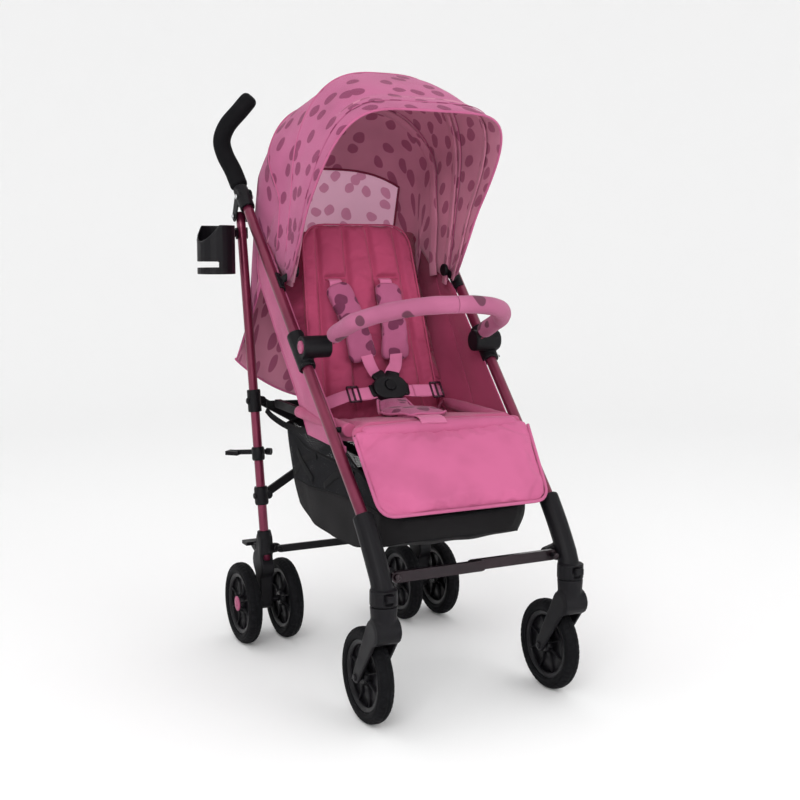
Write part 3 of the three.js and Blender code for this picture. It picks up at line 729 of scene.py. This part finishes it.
declared(front_shell, "stretched", "canopy_clip_left", "canopy_clip_right")
declared(mid_shell, "stretched", "canopy_clip_left", "canopy_clip_right")
declared(rear_shell, "hung", "backrest")
declared(window_panel, "stretched", rear_shell)
for made, body, nodes in (
        (front_shell, "canopy_front", ["canopy_front"]), (front_trim, "canopy_front", []),
        (front_seam, "canopy_front", []), (front_bow, "canopy_front", []),
        (mid_shell, "canopy_mid", ["canopy_mid"]), (mid_trim, "canopy_front", []),
        (mid_bow, "canopy_mid", []), (rear_shell, "seat", ["canopy_rear"]),
        (rear_trim, "canopy_mid", []), (rear_bow, "seat", []), (hem_trim, "seat", []),
        (window_panel, "seat", []), (window_trim, "seat", [])):
    settle(made, body, "fold", nodes)

# ---------------------------------------------------------------- backrest, wings and seat
BACK_LONG = float(np.linalg.norm(BACK_TOP - BACK_FOOT))


def back_half_width(up):
    return 140 - 28 * up / BACK_LONG


def back_frame(u, v, w):
    return on_back(u, v, w - 5)


back_outline = rounded([(-137, -6), (137, -6), (113, BACK_LONG - 3), (-113, BACK_LONG - 3)],
                       [14, 14, 48, 48])
backrest_pad = slab("backrest_pad", back_outline, back_frame, 21, pink_seat, dome=3.0)


CHANNELS = ((42, 24), (104, 82))  # each sewn line from the middle: at the foot, at the top
SLOT_UP = 275  # the short seams of the strap slots, up the backrest


def on_seams(up, across, width):
    """How close each point of the backrest is to a sewn line, from 0 to 1."""
    near = np.exp(-((up - SLOT_UP) / width) ** 2) * (np.abs(np.abs(across) - 53) < 25)
    for low, high in CHANNELS:
        line = low + (high - low) * up / BACK_LONG
        near = np.maximum(near, np.exp(-((np.abs(across) - line) / width) ** 2))
    return near


def sewn_back(points):
    rel = points - BACK_FOOT
    return np.maximum(on_seams(rel @ BACK_UP, points[:, 0], 4.0), (rel @ BACK_OUT < -12) * 1.0)


def seat_frame(u, v, w):
    """v runs back from the knee edge; w is up from the seat's upper face."""
    along = np.array([0, 222.0, -24.0]) / math.hypot(222, 24)
    normal = np.array([0, 24.0, 222.0]) / math.hypot(222, 24)
    return np.array([u, 0, 0]) + np.array([0, -122.0, 470]) + along * v + normal * w


seat_outline = rounded([(-146, 246), (-148, 10), (-166, -4), (-166, -22), (166, -22), (166, -4),
                        (148, 10), (146, 246)], [10, 14, 8, 10, 10, 8, 14, 10])
seat_pad = slab("seat_pad", seat_outline, lambda u, v, w: seat_frame(u, v, w + 7), 27, pink_base,
                dome=3.5)


def sewn_seat(points):
    held = np.exp(-((points[:, 1] - 40) / 3.5) ** 2) * (np.abs(points[:, 0]) < 120)
    return np.maximum(held, (points[:, 2] < 452) * 1.0)


KNEE, TOE = np.array([0, -148.0, 474]), np.array([0, -238.0, 346])
CALF_LONG = float(np.linalg.norm(TOE - KNEE))
CALF_DOWN = (TOE - KNEE) / CALF_LONG
CALF_OUT = np.array([0, CALF_DOWN[2], -CALF_DOWN[1]])


def calf_frame(u, v, w):
    return np.array([u, 0, 0]) + KNEE + CALF_DOWN * v + CALF_OUT * w


calf_outline = rounded([(-170, -3), (170, -3), (161, CALF_LONG - 1), (-161, CALF_LONG - 1)],
                       [12, 12, 30, 30])
calf_rest = slab("calf_rest", calf_outline, lambda u, v, w: calf_frame(u, v, w - 1), 10,
                 pink_canvas, dome=1.0)


def sewn_calf(points):
    rel = points - KNEE
    return ((rel @ CALF_OUT) < -7) * 1.0


stuff([(backrest_pad, 0.005, 0.009, sewn_back), (seat_pad, 0.005, 0.008, sewn_seat),
       (calf_rest, 0.005, 0.006, sewn_calf)])


def press_channels(points):
    """Pulls the sewn lines in, where thread draws the cover down."""
    rel = points - BACK_FOOT
    up, out = rel @ BACK_UP, rel @ BACK_OUT
    inside = (out > -9) * np.clip(up / 30, 0, 1) * np.clip((BACK_LONG - up) / 14, 0, 1)
    return -(9.0 * on_seams(up, points[:, 0], 5.0) * inside)[:, None] * BACK_OUT


carve(backrest_pad, press_channels)
carve(seat_pad, lambda p: -3.5 * (np.exp(-((p[:, 1] - 40) / 3.4) ** 2) * (np.abs(p[:, 0]) < 124)
                                  * (p[:, 2] > 452))[:, None] * np.array([0, 0, 1.0]))


def edge_loop(outline, frame_at, w, grow=1.0):
    centre = (outline.min(axis=0) + outline.max(axis=0)) / 2
    return [frame_at(*(centre + (p - centre) * grow), w) for p in outline]


back_trim = swept("backrest_piping", edge_loop(back_outline, back_frame, -1.5, 0.994),
                  round_section(1.8, 10), pink_seat, closed=True)
top_left = int(np.argmax(calf_outline[:, 1] <= 8))
free_edge = np.roll(calf_outline, -top_left, axis=0)
free_edge = free_edge[free_edge[:, 1] > 8]
calf_trim = swept("calf_piping", edge_loop(free_edge, calf_frame, -3.5, 1.008),
                  round_section(2.9, 10), piping_pink)
backing_cut = calf_outline * 0.985
calf_backing = slab("calf_backing", backing_cut, lambda u, v, w: calf_frame(u, v, w - 11.2), 1.6,
                    black_canvas)


# Where the side panel meets the backrest's gusset, from the seat up to beside the headrest.
WING_REAR = curve([(150, 94, 436), (154, 138, 506), (161, 194, 588), (169, 244, 668),
                   (174, 276, 722), (173, 284, 762), (166, 282, 806)], 60)
WING_LOW, WING_HIGH = 432, 693  # heights of its front corners on the front tube


def wing_front(s, v):
    return on_tube(s, WING_LOW + (WING_HIGH - WING_LOW) * v) + np.array([-s * 12.5, 5, 3])


def wing_rear(s, v):
    return WING_REAR[int(round(v * (len(WING_REAR) - 1)))] * (s, 1, 1)


def handed(s, point):
    """Turns a sheet's grid so that its outer face is outwards on either side."""
    return point if s > 0 else lambda u, v: point(1 - u, v)


def wing_sheet(name, s, start, inset, outer):
    """One layer of the side panel, from start (0 is the front tube) back to the gusset."""
    def point(u, v):
        t = start + (1 - start) * u
        p = mix(wing_front(s, v), wing_rear(s, v), t)
        slack = math.sin(math.pi * t) * math.sin(math.pi * min(1, v * 1.1)) ** 0.5
        p[0] += s * slack * (4.0 + 1.8 * math.sin(9 * t + 7 * v) + 0.9 * math.sin(17 * v - 5 * t))
        p[0] -= s * inset
        p[2] += 8 * math.sin(math.pi * t) * v ** 6
        return p
    # The inner face is painted shade, in the darker pink.
    return sheet(name, handed(s, point), 36, 59, 1.6, outer, pink_painted_shade)


def gusset_sheet(side, s):
    """Ruched cloth from under the backrest's edge out to the side panel, all in the darker pink of
    painted shade.
    """
    def point(u, v):
        up = 4 + (BACK_LONG - 22) * v
        inner = on_back(s * (back_half_width(up) - 16), up, -13)
        p = mix(inner, wing_rear(s, v), u)
        ruche = math.sin(math.pi * u) ** 0.7
        p = p + BACK_OUT * ruche * (7 + 4.5 * math.sin(44 * v + 3.0 * u + 1.2 * math.sin(9 * v)))
        p[0] += s * 2.6 * ruche * math.sin(31 * v + 1.7 * math.sin(13 * v))
        return p
    return sheet(f"gusset_{side}", handed(-s, point), 24, 150, 1.4, pink_painted_shade)


for side, s in SIDES.items():
    wing = wing_sheet(f"wing_{side}", s, 0.0, 0.0, pink_canvas)
    # The lining is painted shade, in the darker pink on both faces.
    wing_lining = wing_sheet(f"wing_lining_{side}", s, 0.5, 2.6, pink_painted_shade)
    gusset = gusset_sheet(side, s)
    edge = [wing_rear(s, v) for v in np.linspace(0, 1, 60)]
    foot = [mix(wing_front(s, 0), edge[0], t) + (0, 0, 5) for t in np.linspace(0, 1, 20)]
    trim = swept(f"wing_edge_{side}", edge, round_section(2.0, 8), piping_pink)
    hem = swept(f"wing_hem_{side}", foot, flat_section(11, 2.8), pink_canvas, up=(s, 0, 0))
    # The outer layer stays on the tube. The lining leans back with the backrest and closes
    # the side.
    for made in (wing, trim, hem):
        settle(made, f"side_{side}")
    for made in (wing_lining, gusset):
        settle(made, "backrest", "fold")
    declared(wing, "stretched", f"front_tube_{side}")
    declared(wing_lining, "stretched", wing)
    declared(gusset, "gathered", "backrest_pad")
    rail = [(s * 155, y, 469.6 + 0.0278 * (y + 86)) for y in np.linspace(-99, 122, 30)]
    cover = swept(f"seat_edge_{side}", rail, round_section(11.4, 24), pink_base,
                  taper=1 + 0.02 * np.sin(np.linspace(0, 31, 30)))
    settle(cover, f"seat_rail_{side}")

roll_line = curve([(-151, -136, 466), (-80, -138, 469), (0, -138, 470), (80, -138, 469),
                   (151, -136, 466)], 60)
knee_roll = swept("knee_roll", roll_line, round_section(14, 28), pink_canvas,
                  taper=[0.7, 0.93] + [1] * 56 + [0.93, 0.7])
settle(knee_roll, "seat", "fold")

settle(backrest_pad, "backrest", "fold", ["backrest"])
settle(back_trim, "backrest", "fold")
settle(seat_pad, "seat", "fold", ["seat_base"])
settle(calf_rest, "calf_pad", "fold", ["calf_pad"])
settle(calf_trim, "calf_pad", "fold")
settle(calf_backing, "calf_pad", "fold")

# ---------------------------------------------------------------- harness and buckle
PAD_ORIGIN = np.array([0, 150.0, 705])


def pad_frame(u, v, w):
    return np.array([u, 0, 0]) + PAD_ORIGIN + BACK_UP * v + BACK_OUT * w


# Middle of each shoulder pad's lower and upper end: across the back, and up it from the origin.
PAD_ENDS = {"left": ((41, -143), (42, 6)), "right": ((-24, -143), (-64, 6))}
shoulder_pads = []
for side, ends in PAD_ENDS.items():
    low, high = np.array(ends, float)
    along = (high - low) / np.linalg.norm(high - low)
    across = np.array([along[1], -along[0]])
    middle = (low + high) / 2
    corners = [low - across * 29, low + across * 29, middle + across * 28, high + across * 26,
               high - across * 26, middle - across * 28]
    outline = rounded(corners, [15, 15, 0, 19, 19, 0])

    def curved(u, v, w, low=low, along=along):
        t = ((u - low[0]) * along[0] + (v - low[1]) * along[1]) / 150
        return pad_frame(u, v, w + 1 + 8 * math.sin(math.pi * min(1, max(0, t))))
    shoulder_pads.append(slab(f"shoulder_pad_{side}", outline, curved, 14, print_object, dome=3.0))


def crotch_frame(u, v, w):
    """v runs forward over the seat from the buckle, and down over the knee roll at the end."""
    height = 471 + 0.085 * v + 20 * (1 - ease(v / 46)) - 9 * ease((v - 168) / 30)
    return np.array([u, 58 - v, height + w])


def barely_held(points):
    return np.full(len(points), 0.02)


crotch_outline = rounded([(-26, 0), (26, 0), (44, 66), (30, 168), (-44, 172), (-56, 74)],
                         [10, 10, 16, 18, 18, 16])
crotch_pad = slab("crotch_pad", crotch_outline, lambda u, v, w: crotch_frame(u, v, w + 9), 9,
                  print_object, dome=1.5)
stuff([(made, 0.004, 0.005, barely_held) for made in (*shoulder_pads, crotch_pad)])


def pad_seams(points):
    rel = points - PAD_ORIGIN
    up, out = rel @ BACK_UP, rel @ BACK_OUT
    depth = 2.6 * np.exp(-((up + 70) / 2.6) ** 2) * (out > 0)
    return -depth[:, None] * BACK_OUT


for made in shoulder_pads:
    carve(made, pad_seams)
    settle(made, "backrest", "fold")
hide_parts("harness")
settle(crotch_pad, "seat", "fold")

STRAP = flat_section(25, 1.6)
FACING = (0, -0.8, 0.6)  # the way the straps over the lap face
for side, s in SIDES.items():
    low, high = np.array(PAD_ENDS[side], float)
    slot = curve([pad_frame(*high, -4) - (0, 0, 22), pad_frame(high[0], 10, -6),
                  pad_frame(high[0], 18, -14)], 14)
    to_buckle = curve([pad_frame(low[0], low[1] + 12, 3), (low[0] * 0.8, 100, 556),
                       (s * 15 - 2, 80, 541), (s * 9, 66, 530)], 20)
    reach = 74 if s < 0 else 100  # how far out the adjuster sits
    waist = curve([(s * 22, 62, 513), (s * reach * 0.62, 58, 509), (s * reach, 62, 508),
                   (s * (reach + 16), 70, 504), (s * 127, 92, 486), (s * 133, 103, 472)], 40)
    folded = curve([(s * reach * 0.5, 56.4, 511), (s * reach, 59.6, 508.6)], 8)
    for name, line, facing, body, keep in (
            ("shoulder_strap_upper", slot, BACK_OUT, "backrest", 0.24),
            ("shoulder_strap_lower", to_buckle, (0, -0.85, 0.5), "seat", 0.3),
            ("waist_strap", waist, FACING, "seat", 0.26),
            ("waist_strap_fold", folded, FACING, "seat", 0.26)):
        strap = swept(f"{name}_{side}", line, STRAP, webbing, up=facing)
        settle(strap, body, "fold")

    middle = np.array([s * reach, 59.6, 508.6]) + np.array(FACING) * 2.2
    rise, run = np.array([0, 0.6, 0.8]) * 15.5, np.array([11, 0, 0])
    bars = [swept("bar", [middle + run * k - rise, middle + run * k, middle + run * k + rise],
                  round_section(2.1, 8), plum_plastic) for k in (-1, 0, 1)]
    bars += [swept("bar", [middle - run + rise * k, middle + rise * k, middle + run + rise * k],
                   round_section(2.3, 8), plum_plastic) for k in (-1, 1)]
    settle(joined(f"waist_adjuster_{side}", bars), "seat", "fold")

    # The webbing's ends are sewn into black tongues that click into the buckle.
    for name, start, end, width in (
            ("shoulder_tongue", (s * 17 - 2, 78, 545), (s * 9, 64, 529), 27),
            ("waist_tongue", (s * 40, 59.5, 513), (s * 24, 60, 515), 25)):
        line = [mix(start, end, t) for t in (0, 0.1, 0.5, 1)]
        tongue = swept(f"{name}_{side}", line, flat_section(width, 7), black_trim, up=FACING,
                       taper=(0.8, 1, 1, 1))
        settle(tongue, "seat", "fold")

front_loop = curve([(-16, -100, 486), (-17, -122, 489), (-18, -139, 486.5), (-19, -150, 480)], 16)
loop = swept("crotch_strap", front_loop, flat_section(48, 2.0), webbing, up=(0, -0.3, 1))
settle(loop, "seat", "fold")
edge = [crotch_frame(u * 1.02, v, 5.5 + 1.4 * math.sin(i * 1.1))
        for i, (u, v) in enumerate(crotch_outline)]
binding = swept("crotch_pad_binding", edge, round_section(2.4, 8), piping_pink, closed=True)
settle(binding, "seat", "fold")

buckle_shell = softened("buckle_shell", "buckle", black_trim, 0.0012, 10)
settle(buckle_shell, "seat", replaces=["buckle"])
button = softened("buckle_release", "buckle_button", black_plastic, 0.0008, 4)
settle(button, "buckle_button", replaces=["buckle_button"])

# ---------------------------------------------------------------- bumper bar's sleeve
for side, s in SIDES.items():
    line = [(150, -27, 625.5), (151, -40, 631)]
    for angle in np.linspace(0.42, math.pi / 2, 12):
        cosine, sine = max(0.0, math.cos(angle)) ** 0.8, math.sin(angle) ** 0.8
        line.append((158 * cosine, 2 - 189 * sine, 619 + 64 * sine))
    path = curve(np.array(line) * (s, 1, 1), 110)
    fullness = 1 + 0.02 * np.sin(np.linspace(0, 9, 110)) * np.sin(np.linspace(0, 31, 110))
    fullness[:4] *= (0.82, 0.93, 0.98, 1.0)
    sleeve = swept(f"bumper_sleeve_{side}", path, round_section(15.2, 28), print_bar,
                   taper=fullness)
    settle(sleeve, f"bumper_half_{side}", replaces=[f"bumper_half_{side}"])
    under = swept(f"bumper_seam_{side}", path + np.array([0, 4.6, -14.6]), round_section(1.3, 6),
                  piping_dark)
    settle(under, f"bumper_half_{side}")
    arm = [(s * 150, -19, 622), (s * 150.5, -29, 626), (s * 151, -40, 631)]
    tongue = swept(f"bumper_arm_{side}", arm, round_section(8, 20), black_plastic)
    settle(tongue, f"bumper_half_{side}")

# ---------------------------------------------------------------- basket
RIM = [(0, 238, 446), (112, 238, 446), (141, 218, 440), (145, 110, 408), (145.5, -20, 402),
       (145, -124, 400), (139, -190, 352), (108, -210, 332), (0, -211, 330)]
FLOOR = [(0, 188, 300), (106, 187, 300), (134, 172, 294), (141, 90, 270), (142, 0, 265),
         (141, -90, 265), (132, -178, 283), (104, -195, 290), (0, -196, 291)]
BAND = [0.72, 0.72, 0.7, 0.5, 0.42, 0.38, 0.2, 0.06, 0.06]


def around(keys, u):
    """Round the basket: 0 at the middle of the rear, 0.5 at the middle of the front."""
    turn = u % 1.0
    s = 1 if turn <= 0.5 else -1
    place = (turn if turn <= 0.5 else 1 - turn) * 2 * (len(keys) - 1)
    index = min(int(place), len(keys) - 2)
    value = mix(keys[index], keys[index + 1], place - index)
    return value * (s, 1, 1) if value.ndim else value


def wall(u, v):
    rim, low = around(RIM, u), around(FLOOR, u)
    point = mix(rim, low, v)
    away = np.array([point[0], point[1] * 0.55, 0])
    away /= max(1e-6, np.linalg.norm(away))
    slack = 7.5 * math.sin(math.pi * min(1, v * 0.9 + 0.05))
    folds = 1.7 * math.sin(46 * u + 5 * v) * math.sin(math.pi * v) + 1.0 * math.sin(97 * u)
    return point + away * (slack + folds * (v > 0.02)) * 0.75


upper_net = sheet("basket_net", lambda u, v: wall(1 - u, around(BAND, 1 - u) * v), 144, 12, 1.0,
                  black_net, black_net, black_webbing)
lower_band = sheet("basket_band", lambda u, v: wall(1 - u, mix(around(BAND, 1 - u), 1.0, v)),
                   144, 16, 1.8, black_canvas)


def floor_point(u, v):
    place = 0.02 + 0.46 * v
    right, left = around(FLOOR, place), around(FLOOR, 1 - place)
    point = mix(left, right, u)
    point[2] -= 7 * math.sin(math.pi * u) * math.sin(math.pi * v)
    point[2] += 1.3 * math.sin(19 * u + 6 * v) * math.sin(math.pi * u)
    return point


def basket_strap(name, line, width, thickness, up):
    strap = swept(name, line, flat_section(width, thickness), black_webbing, up=up)
    settle(strap, "seat", "fold")


basket_floor = sheet("basket_floor", lambda u, v: floor_point(u, 1 - v), 40, 48, 1.8,
                     black_canvas)
ALL_ROUND = np.linspace(0, 1, 120, endpoint=False)
loops = [("basket_rim", [wall(u, 0) for u in ALL_ROUND], 3.4),
         ("basket_band_piping", [wall(u, around(BAND, u)) for u in ALL_ROUND], 2.3),
         ("basket_foot_piping", [wall(u, 1) for u in ALL_ROUND], 2.3)]
for made in (upper_net, lower_band, basket_floor):
    settle(made, "seat", "fold")
    declared(made, "hung", "seat_rail_left", "seat_rail_right")
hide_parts("basket")
for name, path, radius in loops:
    settle(swept(name, path, round_section(radius, 10), black_webbing, closed=True), "seat",
           "fold")
for side, s in SIDES.items():
    def on_wall(y, z, out=1.6, s=s):
        """The point of the basket's side at a place seen from the side."""
        best = None
        for u in np.linspace(0.06, 0.42, 60):
            for v in np.linspace(0, 1, 30):
                p = wall(u if s > 0 else 1 - u, v)
                gap = (p[1] - y) ** 2 + (p[2] - z) ** 2
                if best is None or gap < best[0]:
                    best = (gap, p)
        return best[1] + np.array([s * out, 0, 0])
    for number, ends in enumerate((((226, 436), (150, 392), (70, 352)),
                                   ((176, 352), (120, 388), (60, 402)),
                                   ((20, 352), (-40, 380), (-96, 398)))):
        path = curve([on_wall(*p) for p in ends], 26)
        basket_strap(f"basket_strap_{number}_{side}", path, 13, 1.6, (s, 0, 0))
    sling = curve([(s * 166, 268, 462), (s * 160, 248, 450), (s * 148, 205, 437),
                   (s * 146, 130, 438), (s * 146, 40, 456), (s * 146, -50, 461)], 60)
    basket_strap(f"basket_sling_{side}", sling, 12, 2.0, (s, 0, 0.2))

    def upper_point(u, v, s=s, sling=sling):
        top = sling[int(round((6 + 46 * u)))]
        turn = 0.12 + 0.235 * u
        return mix(top, wall(turn if s > 0 else 1 - turn, 0.0), v)
    panel = sheet(f"basket_side_net_{side}", handed(-s, upper_point), 46, 8, 1.0, black_net)
    settle(panel, "seat", "fold")
    declared(panel, "stretched", "basket_rim", f"basket_sling_{side}")
    hanger = curve([(s * 168, 262, 474), (s * 90, 262, 472), (0, 262, 471)], 20)
    basket_strap(f"rear_strap_{side}", hanger, 14, 2.2, (0, 1, 0.1))

# ---------------------------------------------------------------- wheels
SPOKES = 8
SPOKE_SECTION = np.array([(-7.2, -1.2), (-8, 0), (-7.2, 1.2), (7.2, 1.2), (8, 0), (7.2, -1.2)])
TYRE_HALF = [(59.8, 8.6), (61.5, 11.6), (65.5, 13.2), (69.6, 13.5), (70.3, 12.7), (71.4, 12.8),
             (72.2, 13.2), (75.6, 11.6), (78.3, 8.4), (79.7, 4.4), (80.0, 2.2), (79.3, 1.5)]


def tread(profile, turn):
    """Shallow grooves across the tyre's shoulders."""
    step = math.sin(turn * 48)
    cut = 0.9 * ease((step - 0.1) / 0.5)
    return [(r - cut * ease((r - 74) / 3) * ease((abs(w) - 2.5) / 2), w) for r, w in profile]


def tyre_at(name, centre):
    profile = TYRE_HALF + [(r, -w) for r, w in reversed(TYRE_HALF)]
    return turned(name, profile, centre, (1, 0, 0), tyre_rubber, 288, tread)


def rim_at(name, centre):
    ring = [(52.2, 8.2), (58.6, 9.6), (59.6, 9.6), (59.6, -9.6), (58.6, -9.6), (52.2, -8.2),
            (51.4, -6), (51.4, 6)]
    hub = [(6.4, 12), (11.2, 12), (13.2, 10.4), (15, 4), (15, -4), (13.2, -10.4), (11.2, -12),
           (6.4, -12)]
    web = [(12, 2), (34, 1.2), (52.5, 3), (52.5, -3), (34, -1.2), (12, -2)]
    parts = [turned("ring", ring, centre, (1, 0, 0), black_trim, 96),
             turned("web", web, centre, (1, 0, 0), black_trim, 96),
             turned("hub", hub, centre, (1, 0, 0), black_trim, 48)]
    for i in range(SPOKES):
        turn = 2 * math.pi * (i + 0.5) / SPOKES
        out = np.array([0, math.cos(turn), math.sin(turn)])
        side = np.array([0, -math.sin(turn), math.cos(turn)])
        path = [np.asarray(centre) + out * r for r in (12, 22, 36, 52.5)]
        parts.append(swept("spoke", path, SPOKE_SECTION, black_trim, up=side,
                           taper=(1.3, 1.0, 0.8, 1.0)))
    return joined(name, parts)


def dome_at(name, centre, axis, radius, height, material, body, inset=0.35):
    """A rivet, bolt or cap: a shallow dome on an axis."""
    profile = [(radius * inset, height), (radius * 0.72, height * 0.86), (radius, height * 0.42),
               (radius, -0.6), (0.05, -0.6), (0.05, height)]
    made = turned(name, profile, centre, axis, material, 28)
    return settle(made, body)


for side, s in SIDES.items():
    for which, x, y in (("front_wheel", 179, -216), ("rear_outer_wheel", 219, 269),
                        ("rear_inner_wheel", 133, 269)):
        node = f"{which}_{side}"
        centre = (s * x, y, WHEEL_RADIUS)
        settle(tyre_at(f"{node}_tread", centre), node, replaces=[f"{node}_tyre"])
        settle(rim_at(f"{node}_spokes", centre), node, replaces=[f"{node}_rim"])
        if which == "rear_outer_wheel":
            dome_at(f"hub_cap_{side}", (s * (x + 12.6), y, WHEEL_RADIUS), (s, 0, 0), 14.5, 2.6,
                    cap_pink, node, 0.5)
            dome_at(f"hub_boss_{side}", (s * (x + 15), y, WHEEL_RADIUS), (s, 0, 0), 6.5, 1.0,
                    cap_pink, node, 0.7)
        elif which == "front_wheel":
            for end in (-1, 1):
                dome_at(f"axle_head_{'in' if end < 0 else 'out'}_{side}",
                        (s * x + end * 24, y, WHEEL_RADIUS), (end, 0, 0), 6.2, 2.2, black_trim,
                        f"caster_{side}")
        else:
            dome_at(f"inner_hub_cap_{side}", (s * (x - 12.6), y, WHEEL_RADIUS), (-s, 0, 0), 12, 1.2,
                    black_trim, node, 0.5)

# ---------------------------------------------------------------- frame, castings and handles
SOFT_EDGES = {"caster_housing": 0.0015, "caster_fork": 0.0015, "rear_housing": 0.0015,
              "bumper_clamp": 0.0015, "handle_joint": 0.0012, "canopy_clip": 0.0012,
              "brace_slider": 0.0012}
for side, s in SIDES.items():
    for kind, voxel in SOFT_EDGES.items():
        node = f"{kind}_{side}"
        body = {"caster_fork": f"caster_{side}", "rear_housing": f"rear_leg_{side}",
                "brace_slider": f"brace_slider_{side}"}.get(kind, f"side_{side}")
        made = softened(f"{kind}_moulding_{side}", node, black_plastic, voxel, 8)
        settle(made, body, replaces=[node])
    tube = swept(f"front_tube_painted_{side}", [on_tube(s, z) for z in np.linspace(303.4, 865, 24)],
                 round_section(10, 32), plum_metal)
    settle(tube, f"side_{side}", replaces=[f"front_tube_{side}"])
    tube = swept(f"rear_leg_painted_{side}", [on_leg(s, z) for z in np.linspace(164, 846.8, 24)],
                 round_section(9, 32), plum_metal)
    settle(tube, f"rear_leg_{side}", replaces=[f"rear_leg_{side}"])
    lean = np.array([0, math.cos(LEG_LEAN), -math.sin(LEG_LEAN)])
    pivot = np.array([s * BRACE_PIVOT_X, on_leg(s, BRACE_LOW)[1], BRACE_LOW])
    layer = 24 if s > 0 else 15  # the two bars pass one behind the other
    parts = [swept("collar", [on_leg(s, z) for z in (275, 279, 284, 293, 302, 307, 311)],
                   round_section(13.5, 28), black_plastic, taper=(0.9, 1, 1, 1, 1, 1, 0.9)),
             swept("boss", [pivot + lean * t for t in (-6, -4.5, layer - 2.4, layer - 0.4)],
                   round_section(8, 24), black_plastic, taper=(0.88, 1, 1, 0.9)),
             swept("pin", [pivot + lean * t for t in (0, 10, layer + 8)], round_section(4, 16),
                   rivet_steel)]
    if s < 0:
        mount = on_leg(s, LEVER_HEIGHT)
        parts.append(swept("lever_collar", [on_leg(s, z) for z in (363, 366, 376, 386, 389)],
                           round_section(12.5, 28), black_plastic, taper=(0.9, 1, 1, 1, 0.9)))
        parts.append(swept("lever_lug", [mount, mix(mount, (-160, 288, LEVER_HEIGHT), 0.55)],
                           round_section(6, 16), black_plastic))
    settle(joined(f"rear_bracket_{side}", parts), f"rear_leg_{side}")

    grip_points = [(199, 311, 896), (201, 317, 907), (207, 325, 928), (219, 335, 958),
                   (224, 336, 985), (214, 331, 1013), (192, 320, 1041), (173, 306, 1067)]
    grip_path = curve(np.array(grip_points) * (s, 1, 1), 90)
    taper = np.ones(90)
    taper[:3] = (0.93, 0.98, 1.0)
    taper[-9:] = (1.0, 1.0, 0.995, 0.985, 0.965, 0.93, 0.87, 0.76, 0.55)
    grip = swept(f"handle_foam_{side}", grip_path, round_section(17, 32), black_foam, taper=taper)
    settle(grip, f"side_{side}", replaces=[f"handle_grip_{side}"])
    for number, (y, z) in enumerate(((291, 875), (312, 838))):
        for face in (-1, 1):
            dome_at(f"joint_rivet_{number}_{'in' if face * s < 0 else 'out'}_{side}",
                    (s * 197 + face * 16, y, z), (face, 0, 0), 4.6, 2.0, rivet_steel,
                    f"side_{side}")
    dome_at(f"release_cap_{side}", (s * 201.3, 6, 605), (s, 0, 0), 10.8, 1.2, cap_pink,
            f"bumper_button_{side}", 0.6)
    dome_at(f"clamp_screw_{side}", tuple(on_tube(s, 567) + (s * 12.5, -8.5, 8)),
            (s * 0.8, -0.5, 0.4), 2.6, 1.0, black_trim, f"side_{side}")
    for name, height, body in (("slider_bolt", BRACE_HIGH, "brace_slider"),
                               ("bracket_bolt", BRACE_LOW, "rear_leg")):
        dome_at(f"{name}_{side}", tuple(on_leg(s, height) + (s * 13, 0, 0)), (s, 0, 0), 6.4, 3.2,
                black_trim, f"{body}_{side}")
    dome_at(f"crossbar_rivet_{side}", (s * 152, -273.2, 254), (0, -1, 0), 5.6, 1.8, dark_plum,
            f"side_{side}")

cup_shell = softened("cup_moulding", "cup_holder", black_trim, 0.0011, 6)
settle(cup_shell, "rear_leg_right", replaces=["cup_holder"])

for name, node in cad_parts.items():
    if node.hide_render:
        continue
    material = dark_plum if name.startswith("front_crossbar") else (
        cap_pink if name.startswith("bumper_button") else black_plastic)
    repaint(node.data, material)
    modify(node, "BEVEL", width=0.0009, segments=2, limit_method="ANGLE", angle_limit=0.6)

# ---------------------------------------------------------------- floor, light and camera
FLOOR_RADIUS, WALL_CURVE, WALL_TOP = 3.4, 2.2, 4.5  # a round seamless backdrop, metres
backdrop = [(0.05, 0.0), (1.2, 0.0), (2.4, 0.0)]
backdrop += [(FLOOR_RADIUS + WALL_CURVE * math.sin(a), WALL_CURVE * (1 - math.cos(a)))
             for a in np.linspace(0, math.pi / 2, 16)]
backdrop.append((FLOOR_RADIUS + WALL_CURVE, WALL_TOP))
FACETS = 96
turns = [2 * math.pi * i / FACETS for i in range(FACETS)]
ring_points = [(r * math.cos(turn), r * math.sin(turn), z) for r, z in backdrop for turn in turns]
ring_faces = ring_quads(len(backdrop), FACETS) + [tuple(reversed(range(FACETS)))]
studio_paint = Shader("studio_paint", (0.94, 0.94, 0.94), 0.9, shine=0.1).material
piece("backdrop", ring_points, ring_faces, [studio_paint], scale=False)

world = bpy.data.worlds.new("studio")
bpy.context.scene.world = world
world.use_nodes = True
world.node_tree.nodes["Background"].inputs["Color"].default_value = (1.0, 1.0, 1.0, 1)
world.node_tree.nodes["Background"].inputs["Strength"].default_value = 0.9


def softbox(name, place, target, size, power):
    light = bpy.data.lights.new(name, "AREA")
    light.shape, light.size, light.energy = "SQUARE", size, power
    made = bpy.data.objects.new(name, light)
    made.location = place
    made.rotation_euler = (Vector(target) - Vector(place)).to_track_quat("-Z", "Y").to_euler()
    bpy.context.scene.collection.objects.link(made)


softbox("key", (-1.8, -2.5, 2.1), (0, 0, 0.6), 1.6, 46)
softbox("fill", (1.3, -2.9, 1.1), (0, 0, 0.6), 1.8, 16)
softbox("top", (0.2, 0.4, 3.2), (0, 0, 0.5), 2.2, 8)

# The camera that was fitted to the photo.
camera_data = bpy.data.cameras.new("camera")
camera_data.lens, camera_data.sensor_width = 54.66, 36
camera = bpy.data.objects.new("camera", camera_data)
camera.location = (-0.98134, -1.98929, 0.7732)
aim = Vector((0.02206, -0.03049, 0.5017)) - camera.location
camera.rotation_euler = aim.to_track_quat("-Z", "Y").to_euler()
bpy.context.scene.collection.objects.link(camera)
bpy.context.scene.camera = camera
bpy.context.scene.view_settings.view_transform = "Standard"
